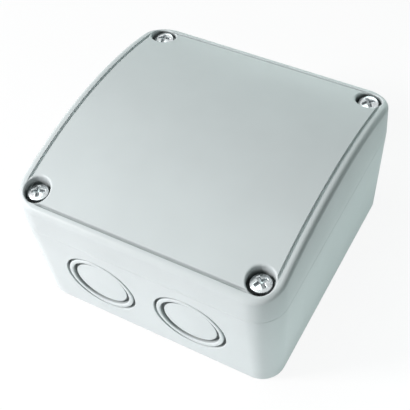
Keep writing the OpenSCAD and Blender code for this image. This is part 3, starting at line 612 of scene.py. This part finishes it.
def lidSkins():
    # arched top and ceiling, the wells and pillars between them, and one profile all round the edge
    s = lidSize
    across = lidAcross()
    outline = (s["sideEnd"], s["sideSteps"], *s["cornerSteps"])
    loopX, loopY, normX, normY, corner = rimOutline(rimHalf, rimCorner, *outline)
    angle = wellAngles(across, len(corner[0]))
    shares = (1 - np.cos(np.linspace(0, np.pi, s["rays"] + 1))) / 2
    well = np.full(len(angle), wellR)
    skins = sheetSkins(rimHalf, corner, across, angle, well, shares, lidTop, False)
    # ceiling: the same rays start from the pillars, which reach out until they meet the lip's outer face
    probe = np.linspace(0, s["pillarR"], 220)[:, None]
    probeX, probeY = screwAt + probe * np.cos(angle), probe * np.sin(angle) - screwAt
    room = insideBy(probeX, probeY, caseHalf, caseSize["cornerR"])
    pillar = np.where(room > s["lipIn"], probe, 0).max(0)
    ceilHalf = rimHalf - s["ceilIn"]
    ceilCorner = rimOutline(ceilHalf, rimCorner - s["ceilIn"], *outline)[4]
    ceilAcross = across * (ceilHalf - s["sideEnd"]) / (rimHalf - s["sideEnd"])
    shares = np.linspace(0, 1, 7)
    skins += sheetSkins(ceilHalf, ceilCorner, ceilAcross, angle, pillar, shares, ceilingAt, True)
    # wells: wall and floor, screw hole, pillar foot and pillar wall, one skin each
    floor, hole, low = s["wellFloor"], caseSize["shankHoleR"], s["lipUnder"]
    rows = eased([(hole, low), (hole, floor), (wellR, floor), (wellR, floor + 1)], [0.15, 0.25])[::-1]
    for k in range(4):
        radii = np.concatenate([well[None], rows[:, :1] + 0 * well, pillar[None], pillar[None]])
        x, y = quarterTurns(screwAt + radii * np.cos(angle), radii * np.sin(angle) - screwAt, k)
        heights = np.concatenate([lidTop(x[:1], y[:1]), rows[:, 1:] + 0 * well, [low + 0 * well],
                                  ceilingAt(x[-1:], y[-1:])])
        skins.append(gridSkin(plan(x, y, heights), True, True))
    # outer wall, underside with the seal's channel, lip and inner wall: one profile round the outline
    under = s["under"]
    wallTop = archTop(loopY) - s["fillet"]
    share = np.array([0, 0.35, 0.7])[:, None]
    wallIn = -s["lean"] * share + 0 * loopX
    wallZ = wallTop * (1 - share) + under * share
    bend = eased([(-0.7 * s["lean"], under + 3), (-s["lean"], under), *s["edge"]], s["bends"], 3)[1:-1]
    inset = np.concatenate([wallIn, bend[:, :1] + 0 * loopX, [s["ceilIn"] + 0 * loopX]])
    height = np.concatenate([wallZ, bend[:, 1:] + 0 * loopX, [ceilingAt(loopX, loopY - normY * s["ceilIn"])]])
    skins.append(gridSkin(plan(loopX - normX * inset, loopY - normY * inset, height), True))
    return skins


def paintedShadeShare(spots):
    # painted shade: full on the floors of the groove and the wells, falling to 0 at their edges, and 0 under
    # the top skin
    x, y, z = spots.T
    s = lidSize
    inWell = (wellReach(x, y) < wellR + 0.05) & (z > s["under"])
    well = s["wellShade"] * smoothStep((archTop(screwAt) - s["mouth"] - z) / s["wellFade"]) * inWell
    shown = z > archTop(np.clip(y, -caseHalf, caseHalf)) - s["grooveDepth"] - 0.2
    shadeShare = np.where(np.abs(x) > np.abs(y), s["sideShade"], s["grooveShade"])
    return np.maximum(shadeShare * smoothStep((1 - offGroove(x, y)) * s["shadeFlank"]) * shown, well)


markPiece(buildPiece("lid_cover", lidSkins(), "case_grey", "lid", ["lid"]), "recess", paintedShadeShare)


# base

baseSize = {
    "sideSteps": 48,
    "arcSteps": 24,
    "footRound": 1.0,
    "topEdge": 37.41,
    "topRound": 0.28,
    "floor": 3.0,
    "cove": 0.5,  # rounding where the inner wall meets the floor
    "innerRows": (20, 36.9),
    "knockX": (-16.55, 15.65),
    "knockZ": 19.8,
    "scoreR": 12.6,  # larger conduit size, at its scored ring
    "scoreW": 0.9,
    "discR": 10.25,  # smaller conduit size, at its scored ring
    "discScoreW": 1.1,
    "scoreDeep": 1.7,
    "discDeep": 0.6,
    "knockBends": (0.12, 0.1, 0.1, 0.45, 0.45, 0.1, 0.1, 0.12),
    "patchR": 13.1,
    "fixing": (25.0, 36.0),
    "boardMid": 1.5,
    "standoff": (31.75, 26.0),
    "pad": [(4.0, 3.0), (4.0, 4), (2.2, 4), (2.2, 0.3), (2.5, 0)],  # fixing pad: radius and height
    "padBends": (0.25, 0.2, 0.1),
    "stand": [(3.0, 3.0), (3.0, 9), (1.5, 9), (1.5, 3.6), (0, 3.6)],  # board standoff
    "standBends": (0.25, 0.15, 0.1),
    "post": [(4.3, 2.8), (4.3, 34.2), (1.8, 34.2), (1.8, screwLow - 2), (0, screwLow - 2)],
    "postBends": (0.35, 0.25, 0.1),
}


def baseIn(z):
    # how far the leaning wall stands in from the parting outline at a height
    return caseSize["baseLean"] * (1 - np.asarray(z) / caseSize["parting"])


def onFront(x, z, sunk):
    # a point on the leaning front face, sunk into the wall by a depth along its own normal
    tilt = math.atan(caseSize["baseLean"] / caseSize["parting"])
    y = -caseHalf + baseIn(z)
    return plan(x, y + sunk * math.cos(tilt), z + sunk * math.sin(tilt))


def knockoutProfile():
    # radius and depth of one knockout from the middle out: sunk disc, score, rounded ring, score, wall face
    b = baseSize
    small, outer = b["discR"], b["scoreR"]
    disc, inner = small - b["discScoreW"], outer - b["scoreW"]
    deep, sunk = b["scoreDeep"], b["discDeep"]
    return eased([(0, sunk), (disc, sunk), (disc, deep), (small, deep), (small, 0), (inner, 0), (inner, deep),
                  (outer, deep), (outer, 0), (b["patchR"], 0)], b["knockBends"], 6)


def baseSkins():
    # one profile all round, the front face with its knockouts, underside and floor, and what stands on it
    b = baseSize
    cornerR = caseSize["cornerR"]
    sideEnd = caseHalf - cornerR
    x, y, nx, ny, _ = rimOutline(caseHalf, cornerR, sideEnd, b["sideSteps"], 0, b["arcSteps"])
    top, ease, foot, floor = b["topEdge"], b["topRound"], b["footRound"], b["floor"]
    wallRows = np.linspace(top - ease, foot, 17)
    swing = np.linspace(0, np.pi / 2, 6)
    wall, cove = caseSize["wall"], b["cove"]
    inner = wall + baseIn(floor)
    profile = [(inner + cove, floor), (inner + 0.3 * cove, floor + 0.3 * cove), (inner, floor + cove)]
    profile += [(wall + baseIn(z), z) for z in b["innerRows"]]
    profile += [(wall + 0.1, top - 0.1), (wall - 0.1, top)]
    profile += [(ease * (1 - math.sin(a)) + 0.005, top - ease + ease * math.cos(a)) for a in swing[:-1]]
    first = len(profile)
    profile += [(baseIn(z), z) for z in wallRows]
    last = len(profile)
    profile += [(baseIn(foot) + foot * (1 - math.cos(a)), foot * (1 - math.sin(a))) for a in swing[1:]]
    inset, height = np.array(profile).T[..., None]
    ring = plan(x - nx * inset, y - ny * inset, height)
    quads = quadsOf(len(profile), len(x), True)
    rowAt, colAt = np.divmod(np.arange(len(quads)), len(x))
    front = (rowAt >= first) & (rowAt < last - 1) & (colAt < b["sideSteps"])
    skins = [(ring.reshape(-1, 3), quads[~front])]
    # front face: one block of rays and one stepped disc for each knockout
    along = np.linspace(-sideEnd, sideEnd, b["sideSteps"] + 1)
    halfSteps = b["sideSteps"] // 2
    up = wallRows[::-1]
    for middle, run in zip(b["knockX"], (along[:halfSteps + 1], along[halfSteps:])):
        across, upright = np.ones(len(run) - 1), np.ones(len(up) - 1)
        edgeX = np.concatenate([run[:-1], upright * run[-1], run[:0:-1], upright * run[0]])
        edgeZ = np.concatenate([across * up[0], up[:-1], across * up[-1], up[:0:-1]])
        angle = np.arctan2(edgeZ - b["knockZ"], edgeX - middle)
        s = np.linspace(0, 1, 7)[:, None]
        patchX = middle + b["patchR"] * np.cos(angle)
        patchZ = b["knockZ"] + b["patchR"] * np.sin(angle)
        skins.append(gridSkin(onFront(patchX * (1 - s) + edgeX * s, patchZ * (1 - s) + edgeZ * s, 0), True))
        rows = knockoutProfile()
        discX = middle + rows[:, :1] * np.cos(angle)
        discZ = b["knockZ"] + rows[:, :1] * np.sin(angle)
        skins.append(gridSkin(onFront(discX, discZ, rows[:, 1:]), True))
    # underside, inner floor and what stands on it
    fixings, stands = fourAbout(*b["fixing"]), fourAbout(*b["standoff"], b["boardMid"])
    skins.append(flatSkin(ring[-1, :, :2], [ringPoints(p, b["pad"][-1][0]) for p in fixings], 0.0, False))
    holes = [ringPoints(p, b["pad"][0][0]) for p in fixings]
    holes += [ringPoints(p, b["stand"][0][0]) for p in stands]
    skins.append(flatSkin(ring[0, :, :2], holes, floor, True))
    for key, spots in (("pad", fixings), ("stand", stands), ("post", fourAbout(screwAt, screwAt))):
        skins += [turned(eased(b[key], b[key + "Bends"]), 40, spot, True) for spot in spots]
    return skins


def scoreShare(spots):
    # painted shade: 1 deep in the knockouts' scored rings, 0 on the face, the rounded rings and the discs
    b = baseSize
    x, y, z = spots.T
    sunk = y + caseHalf - baseIn(z)
    share = np.zeros(len(spots))
    for middle in b["knockX"]:
        reach = np.hypot(x - middle, z - b["knockZ"])
        for outer, wide in ((b["scoreR"], b["scoreW"]), (b["discR"], b["discScoreW"])):
            share = np.maximum(share, (reach > outer - wide - 0.05) & (reach < outer + 0.05))
    return share * smoothStep((sunk - 0.1) / 0.8) * (sunk < b["scoreDeep"] + 0.1)


markPiece(buildPiece("base_box", baseSkins(), "case_grey", "base", ["base_shell"]), "recess", scoreShare)


# lid screws and their sealing rings

screwSize = {
    "headR": 3.2,
    "headTop": screwHigh,
    "headH": 2.3,
    "sideH": 1.4,
    "edge": 0.25,
    "armHalf": 0.5,
    "armLong": 2.0,
    "crossDeep": 1.25,
    "crossRise": 0.55,  # by how much the arms grow shallower outwards
    "shankR": 1.74,
    "rootR": 1.38,
    "pitch": 1.3,
    "flank": 2.9,  # steepness of the thread's sides
    "tip": screwLow,
    "plain": 3.0,  # smooth neck below the head
    "point": 3.0,
    "cols": 96,
    "turns": (25, 55, 40, 10),  # degrees, anticlockwise from the front left
    "sealR": (1.81, 3.79),
}


def crossDrop(x, y):
    # a cross recess: two arms with leaning flanks, deepest in the middle
    s = screwSize
    wide, long = s["armHalf"], s["armLong"]
    arms = [smoothStep((wide - np.abs(t)) / 0.2 + 0.5) * smoothStep((long - np.abs(a)) / 0.5 + 0.5)
            for a, t in ((x, y), (y, x))]
    return np.maximum(*arms) * (s["crossDeep"] - s["crossRise"] * np.clip(np.hypot(x, y) / long, 0, 1))


def screwSkin(spot, degrees):
    # domed head with its recess, then a shank whose radius rises and falls with a helix
    s = screwSize
    around = roundTurn(s["cols"])
    level = np.ones(s["cols"])
    rise = s["headH"] - s["sideH"]
    domeR = (s["headR"] ** 2 + rise ** 2) / (2 * rise)
    flat = s["headR"] - s["edge"]
    radii = np.linspace(0, flat, 34)[:, None]
    crest = s["headTop"] - domeR + np.sqrt(domeR ** 2 - radii ** 2)
    headZ = crest - crossDrop(radii * np.cos(around), radii * np.sin(around))
    under = s["headTop"] - s["headH"]
    ease = np.linspace(0, np.pi / 2, 5)[1:]
    rim = [(flat + s["edge"] * math.sin(a), crest[-1, 0] - s["edge"] * (1 - math.cos(a))) for a in ease]
    rim += [(s["headR"], under + 0.15), (s["headR"] - 0.15, under), (s["shankR"] + 0.2, under),
            (s["shankR"], under - 0.2)]
    rimR, rimZ = np.array(rim).T[..., None] * level
    z = np.linspace(under - 0.25, s["tip"] + 0.02, 170)[:, None]
    phase = (z / s["pitch"] - around / (2 * np.pi)) % 1.0
    ridge = np.clip(1 - np.abs(phase - 0.5) * s["flank"], 0, 1)
    fade = smoothStep((under - s["plain"] - z) / 1.2 + 0.5)
    taper = np.clip((z - s["tip"]) / s["point"], 0, 1) ** 0.7
    core = s["shankR"] * (1 - fade) + s["rootR"] * fade
    shankR = np.maximum((core + (s["shankR"] - core) * ridge) * (0.12 + 0.88 * taper), 0.05)
    allR = np.concatenate([radii * level, rimR, shankR, 0 * level[None]])
    allZ = np.concatenate([headZ, rimZ, z * level, s["tip"] * level[None]])
    return roundSkin(allR, allZ, around + math.radians(degrees), spot)


def sealSkin(spot):
    # flat ring with eased edges
    rows = eased(ringRows(*screwSize["sealR"], sealLow + 0.01, sealHigh - 0.01), [0.1, 0.25, 0.25])
    return turned(rows, 64, spot)


def crossShare(spots, spot, degrees):
    # painted shade: 0 on the dome to 1 at the bottom of the cross, and 0 on the shank
    s = screwSize
    x, y = (spots[:, :2] - spot).T
    back = -math.radians(degrees)
    drop = crossDrop(x * math.cos(back) - y * math.sin(back), x * math.sin(back) + y * math.cos(back))
    return smoothStep(drop / s["crossDeep"] * 1.4) * (spots[:, 2] > s["headTop"] - s["headH"])


cornerNames = ("front_left", "front_right", "back_right", "back_left")
for corner, spot, degrees in zip(cornerNames, fourAbout(screwAt, screwAt), screwSize["turns"]):
    piece = buildPiece("cover_screw_" + corner, [screwSkin(spot, degrees)], "zinc_steel", "screw_" + corner,
                       ["lid_screw_" + corner], 50)
    markPiece(piece, "recess", crossShare, spot, degrees)
    buildPiece("cover_seal_" + corner, [sealSkin(spot)], "seal_black", "seal_ring_" + corner,
               ["seal_" + corner])


# circuit board

boardLow, boardHigh = millimetres("circuit_board")
boardSize = {
    "top": boardHigh[2],
    "cornerR": 1.5,
    "holeR": 1.6,
    "holes": fourAbout(*baseSize["standoff"], baseSize["boardMid"]),
    "edge": 0.12,
    "ringR": 3.1,  # bare ring round each fixing hole
    "viaR": 0.31,  # bare spots at the ends of the fine tracks
    "padR": 1.2,
    "lift": 0.04,  # thickness of one layer on the board
    "sink": 0.02,  # how far each layer starts inside the board
    "ink": 0.22,  # width of the printed outlines
    "inkOut": 0.45,  # their distance from the parts
    "heavyWide": 1.8,
    "fineWide": 0.36,
    "outlined": ["transformer", "relay_open", "relay_close", "power_terminal_housing",
                 "control_terminal_housing", "microcontroller_leads", "switch_housing", "trimmer_body",
                 "radio_header", "jumper_header"],
    "heavy": [  # wide mains tracks
        [(-31.75, -15.8), (-31.75, -17), (-28.6, -20.2), (-28.6, -26)],
        [(-31.75, 6.8), (-31.75, 9.5)],
        [(-34.4, 18), (-34.4, -18.5)],
        [(-29.2, 7), (-29.2, 21.5)],
        [(12, 6), (12, -6)],
        [(34.4, 24), (34.4, 0.5), (33.2, -0.7), (33.2, -4.5)],
        [(11.6, 22), (11.6, 29.6), (4, 29.6)],
    ],
    "fine": [  # signal tracks, each repeated side by side: first path, step, count
        ([(5.8, 25), (5.8, 5.0), (7.0, 3.8), (7.0, 2.2)], (0.75, 0.0), 5),
        ([(-6.6, -11), (-6.6, -14.5), (-4.2, -16.9), (8.9, -16.9)], (-0.7, -0.7), 5),
        ([(-4.4, -23.5), (-4.4, -26.8), (-3.5, -27.7), (8.4, -27.7)], (0.7, 0.7), 4),
        ([(4.85, -10.5), (4.85, -15.2), (5.75, -16.1), (8.9, -16.1)], (-0.65, 0.0), 1),
        ([(29.3, -19.6), (29.3, 1.0), (30.2, 1.9), (30.2, 3.4)], (0.72, -0.3), 2),
        ([(27.1, -20.8), (27.1, -17.2), (27.7, -16.6)], (0.7, 0.0), 2),
        ([(19, -15.5), (19, -17.8)], (1.3, 0.0), 5),
        ([(-3.5, 1.2), (-3.5, 2.5)], (1.2, 0.0), 6),
        ([(14, 24), (14, 26.2)], (1.4, 0.0), 7),
    ],
}


def boardSkins():
    # the bare board with its holes, then tracks, tinned rings and printed outlines as raised layers
    b = boardSize
    low, top, e = boardLow[2], b["top"], b["edge"]
    narrow, wide = (roundedLoop(boardLow, boardHigh, b["cornerR"], k, 6) for k in (e, 0))
    levels = ((narrow, low), (wide, low + e), (wide, top - e), (narrow, top))
    edge = np.stack([plan(*loop.T, z) for loop, z in levels])
    holes = [ringPoints(p, b["holeR"], 28) for p in b["holes"]]
    skins = [gridSkin(edge, True, True)]
    skins += [flatSkin(narrow, holes, z, z == top) for z in (top, low)]
    skins += [turned([(b["holeR"], low), (b["holeR"], top)], 28, p) for p in b["holes"]]
    foot = top - b["sink"]
    tracks = [(path, b["heavyWide"], b["padR"]) for path in b["heavy"]]
    for path, step, count in b["fine"]:
        tracks += [(np.array(path) + np.array(step) * k, b["fineWide"], b["viaR"]) for k in range(count)]
    skins += [ribbonSkin(path, across, foot, top + b["lift"]) for path, across, _ in tracks]
    rings = [(p, b["holeR"] + 0.1, b["ringR"]) for p in b["holes"]]
    rings += [(path[k], 0.45 * r, r) for path, _, r in tracks for k in (0, -1)]
    skins += [turned(ringRows(inner, outer, foot, top + 2 * b["lift"]), 18, p) for p, inner, outer in rings]
    for node in b["outlined"]:
        lo, hi = millimetres(node)
        loop = roundedLoop(lo - b["inkOut"], hi + b["inkOut"], 0.3, 0, 1)
        skins.append(ribbonSkin(loop[[*range(len(loop)), 0]], b["ink"], foot, top + 3 * b["lift"]))
    return skins


def boardLayer(spots):
    # 0 mask, 1 track under the mask, 2 bare tinned ring, 3 printed outline, by height above the board
    return np.clip(np.round((spots[:, 2] - boardSize["top"]) / boardSize["lift"]), 0, 3)


board = buildPiece("main_board", boardSkins(), "board_green", "base", ["circuit_board"], 30)
markPiece(board, "layer", boardLayer)


# transformer and relays

transformerSize = {"cornerR": 1.6, "plinth": 2.0, "panelIn": 3.2, "panelDeep": 0.3}
relaySize = {"cornerR": 0.9, "foot": 1.0, "ventR": 0.65, "ventIn": 1.9, "ventHigh": 0.15}


def transformerSkins():
    # a plinth under a leaning block, with a shallow panel sunk in its top
    t = transformerSize
    lo, hi = millimetres("transformer")
    low, high, panel = lo[2], hi[2], t["panelIn"]
    step, sunk = low + t["plinth"], high - t["panelDeep"]
    rows = eased([(0.25, low), (0, low + 0.25), (0, step), (0.5, step + 0.2), (1.0, high), (panel, high),
                  (panel + 0.15, sunk), (panel + 1, sunk)], [0.1, 0.2, 0.2, 0.9, 0.12, 0.1])
    return boxSkins(lo, hi, t["cornerR"], rows)


def relaySkins(node):
    # a case on a foot that is set in, with a small raised vent near one corner of its roof
    r = relaySize
    lo, hi = millimetres(node)
    low, high, ventR = lo[2], hi[2], r["ventR"]
    foot, roof = low + r["foot"], high - r["ventHigh"]
    rows = eased([(0.5, low), (0.3, low + 0.15), (0.3, foot), (0, foot + 0.12), (0.2, roof), (1.4, roof)],
                 [0.1, 0.08, 0.08, 0.6])
    vent = [(ventR, roof - 0.05), (ventR, high - 0.05), (ventR - 0.12, high), (0.25, high),
            (0.2, roof - 0.05), (0, roof - 0.05)]
    return boxSkins(lo, hi, r["cornerR"], rows) + [turned(vent, 24, hi[:2] - r["ventIn"], True)]


buildPiece("mains_transformer", transformerSkins(), "transformer_black", "base", ["transformer"])
for node in ("relay_open", "relay_close"):
    buildPiece(node.replace("relay", "power_relay"), relaySkins(node), "relay_blue", "base", [node])


# capacitors, varistor and fuse wire

canSize = {
    "cans": [((-21.75, -10.0), 5.0, 20.0), ((-11.75, -12.5), 4.0, 12.0)],  # place, radius and height
    "foot": boardHigh[2],
    "lipIn": 1.15,  # sleeve folded over the top edge
    "crimpAt": 1.7,
    "crimpDeep": 0.3,
    "ventHalf": 0.22,
    "ventLong": 0.62,  # arms of the scored cross, as a share of the radius
    "ventDeep": 0.25,
    "stripe": 0.42,  # half the angle of the pale stripe
}


def canSkin(spot, r, high):
    # sleeve with a crimp near the foot and a rolled lip, then the bare top with a cross scored in it
    c = canSize
    foot, crimp, top, lip = c["foot"], c["foot"] + c["crimpAt"], c["foot"] + high, r - c["lipIn"]
    side = eased([(0, foot), (r - 0.4, foot), (r, foot + 0.4), (r, crimp - 0.7), (r - c["crimpDeep"], crimp),
                  (r, crimp + 0.7), (r, top), (lip, top), (lip - 0.05, top - 0.25), (lip - 0.5, top - 0.25)],
                 [0.2, 0.2, 0.3, 0.4, 0.3, 0.6, 0.12, 0.1])
    share = np.linspace(-1, 1, 37)[:-1]
    # angles closest together along the cross
    a = (np.arange(4)[:, None] + 0.5 * share * np.abs(share) ** 0.4).ravel() * np.pi / 2
    inner = np.linspace(side[-1, 0], 0, 36)[1:, None]
    x, y = np.abs(inner * np.cos(a)), np.abs(inner * np.sin(a))
    score = smoothStep((c["ventHalf"] - np.minimum(x, y)) / 0.15 + 0.5)
    score = score * (np.maximum(x, y) < c["ventLong"] * r)
    radii = np.concatenate([side[:, :1] + 0 * a, inner + 0 * a])
    heights = np.concatenate([side[:, 1:] + 0 * a, side[-1, 1] - c["ventDeep"] * score])
    return roundSkin(radii, heights, a, spot, True)


def canLayer(spots):
    # 0 sleeve, 1 pale stripe down its side, 2 bare metal top
    layer = np.zeros(len(spots))
    for spot, r, high in canSize["cans"]:
        x, y, z = (spots - (*spot, canSize["foot"])).T
        reach = np.hypot(x, y)
        here = reach < r + 0.1
        striped = here & (np.abs(np.arctan2(x, -y) - 0.5) < canSize["stripe"]) & (z < high - 0.3)
        layer[striped & (reach > 0.8 * r)] = 1
        layer[here & (reach < r - canSize["lipIn"] + 0.02) & (z > high - 1)] = 2
    return layer


canSkins = [canSkin(*can) for can in canSize["cans"]]
markPiece(buildPiece("can_capacitors", canSkins, "sleeve_navy", "base", ["capacitors"]), "layer", canLayer)

varistorLow, varistorHigh = millimetres("varistor")
varistorSize = {"r": 5.5, "thick": 4.0, "bulge": 0.55, "lead": 0.38, "leadGap": 2.5, "leadIn": 3.5,
                "dip": 1.4}


def varistorSkins():
    # a dipped disc, thin at its rim, on two wire leads coated part of the way down
    v = varistorSize
    mid = (varistorLow + varistorHigh) / 2
    centreZ = varistorHigh[2] - v["r"]
    a = roundTurn(60)
    t = np.linspace(0, np.pi, 25)[:, None]
    reach = v["r"] * np.sin(t) ** v["bulge"]
    along = v["thick"] / 2 * np.cos(t)
    skins = [gridSkin(plan(mid[0] + along, mid[1] + reach * np.cos(a), centreZ + reach * np.sin(a)), True)]
    for side in (-1, 1):
        y = mid[1] + side * v["leadGap"]
        path = np.linspace([mid[0], y, varistorLow[2]], [mid[0], y, centreZ - v["leadIn"]], 8)
        skins.append(wireSkin(path, v["lead"]))
    return skins


def varistorLayer(spots):
    # 0 coating, 1 bare lead below it
    return spots[:, 2] < varistorLow[2] + varistorSize["dip"]


varistor = buildPiece("dipped_varistor", varistorSkins(), "varistor_blue", "base", ["varistor"])
markPiece(varistor, "layer", varistorLayer)

fuseSize = {"wireR": 0.11, "weave": 0.25, "sag": 0.5, "inCap": 0.2}


def fuseSkin():
    # a thin wire from cap to cap that weaves a little to the sides and sags by half a wave
    f = fuseSize
    lo, hi = millimetres("fuse_glass")
    mid = (lo + hi) / 2
    t = np.linspace(0, 1, 31)
    along = lo[1] - f["inCap"] + (hi[1] - lo[1] + 2 * f["inCap"]) * t
    return wireSkin(plan(mid[0] + f["weave"] * np.sin(t * 9), along, mid[2] - f["sag"] * np.sin(t * np.pi)),
                    f["wireR"], 8)


buildPiece("fuse_wire", [fuseSkin()], "tin_plate", "fuse", [])
print("inside pieces built")


# floor, light and camera

def seenPlainly(tree):
    # 1 for rays from the eye, from reflections and through glass, 0 for the light that falls on things
    path = addNode(tree, "LightPath", {})
    seen = 0.0
    for ray in ("Camera", "Glossy", "Transmission"):
        seen = mathOf(tree, "MAXIMUM", seen, path.outputs["Is " + ray + " Ray"])
    return seen


def mixOut(tree, end, share, first, second):
    # the first surface with a share of the second, sent to the end of the tree
    mix = addNode(tree, "MixShader", {"Fac": share, 1: first.outputs[0], 2: second.outputs[0]})
    setSockets(tree, tree.nodes[end], {"Surface": mix.outputs["Shader"]})


def whiteFloor():
    # pale floor, mostly plain white to the eye, with the object's shadow kept in the rest
    finish, tree, shader = startFinish("pale floor")
    setSockets(tree, shader, {"Base Color": (0.93, 0.94, 0.94, 1), "Roughness": 0.9})
    glow = addNode(tree, "Emission", {"Color": (1, 1, 1, 1), "Strength": 1.0})
    mixOut(tree, "Material Output", mathOf(tree, "MULTIPLY", seenPlainly(tree), 0.9), shader, glow)
    return finish


stageSize = {"floorHalf": 3.0, "floorZ": -0.0002}
floorMesh = bpy.data.meshes.new("floor")
floorCorners = fourAbout(stageSize["floorHalf"], stageSize["floorHalf"])
floorMesh.from_pydata([(*corner, stageSize["floorZ"]) for corner in floorCorners], [], [(0, 1, 2, 3)])
floorMesh.materials.append(whiteFloor())
floor = bpy.data.objects.new("floor", floorMesh)
scene.collection.objects.link(floor)

world = bpy.data.worlds.new("studio")
scene.world = world
world.use_nodes = True
sky = world.node_tree
dome = sky.nodes["Background"]
setSockets(sky, dome, {"Color": (0.9, 0.99, 1.0, 1), "Strength": 0.01})
white = addNode(sky, "Background", {"Color": (1, 1, 1, 1), "Strength": 1.0})
mixOut(sky, "World Output", seenPlainly(sky), dome, white)

lamps = {  # place, aim, width and height, power and tint
    "key": ((-0.42, -0.34, 0.4), (0, 0, 0.04), (0.14, 0.14), 4.25, (1.0, 0.96, 0.98)),
    "above": ((-0.2, 0.0, 0.83), (0, 0, 0.04), (0.4, 0.4), 1.9, (0.86, 1.0, 0.97)),
    "behind": ((0.0, 0.7, 0.07), (0, 0, 0.04), (0.7, 0.14), 1.75, (0.84, 1.0, 0.98)),
    "lowFront": ((0.0, -0.15, 0.056), (0, -0.15, 0), (0.3, 0.12), 0.075, (0.98, 0.97, 1.0)),
    "lowRight": ((0.15, 0.0, 0.056), (0.15, 0, 0), (0.12, 0.3), 0.11, (0.75, 1.0, 0.97)),
}
for name, (at, aim, size, power, tint) in lamps.items():
    light = bpy.data.lights.new(name, "AREA")
    light.shape = "RECTANGLE"
    light.size, light.size_y = size
    light.energy = power
    light.color = tint
    holder = bpy.data.objects.new(name, light)
    holder.location = at
    holder.rotation_euler = (Vector(aim) - Vector(at)).to_track_quat("-Z", "Y").to_euler()
    scene.collection.objects.link(holder)

cameraSize = {"at": (0.104651, -0.156327, 0.253943), "turn": (38.4903, 4.5963, 28.9288), "lens": 78.882}
lens = bpy.data.cameras.new("photo view")
lens.lens = cameraSize["lens"]
lens.sensor_width = 36.0
lens.clip_start = 0.01
camera = bpy.data.objects.new("photo view", lens)
camera.location = cameraSize["at"]
camera.rotation_euler = [math.radians(a) for a in cameraSize["turn"]]
scene.collection.objects.link(camera)
scene.camera = camera
scene.view_settings.view_transform = "Standard"
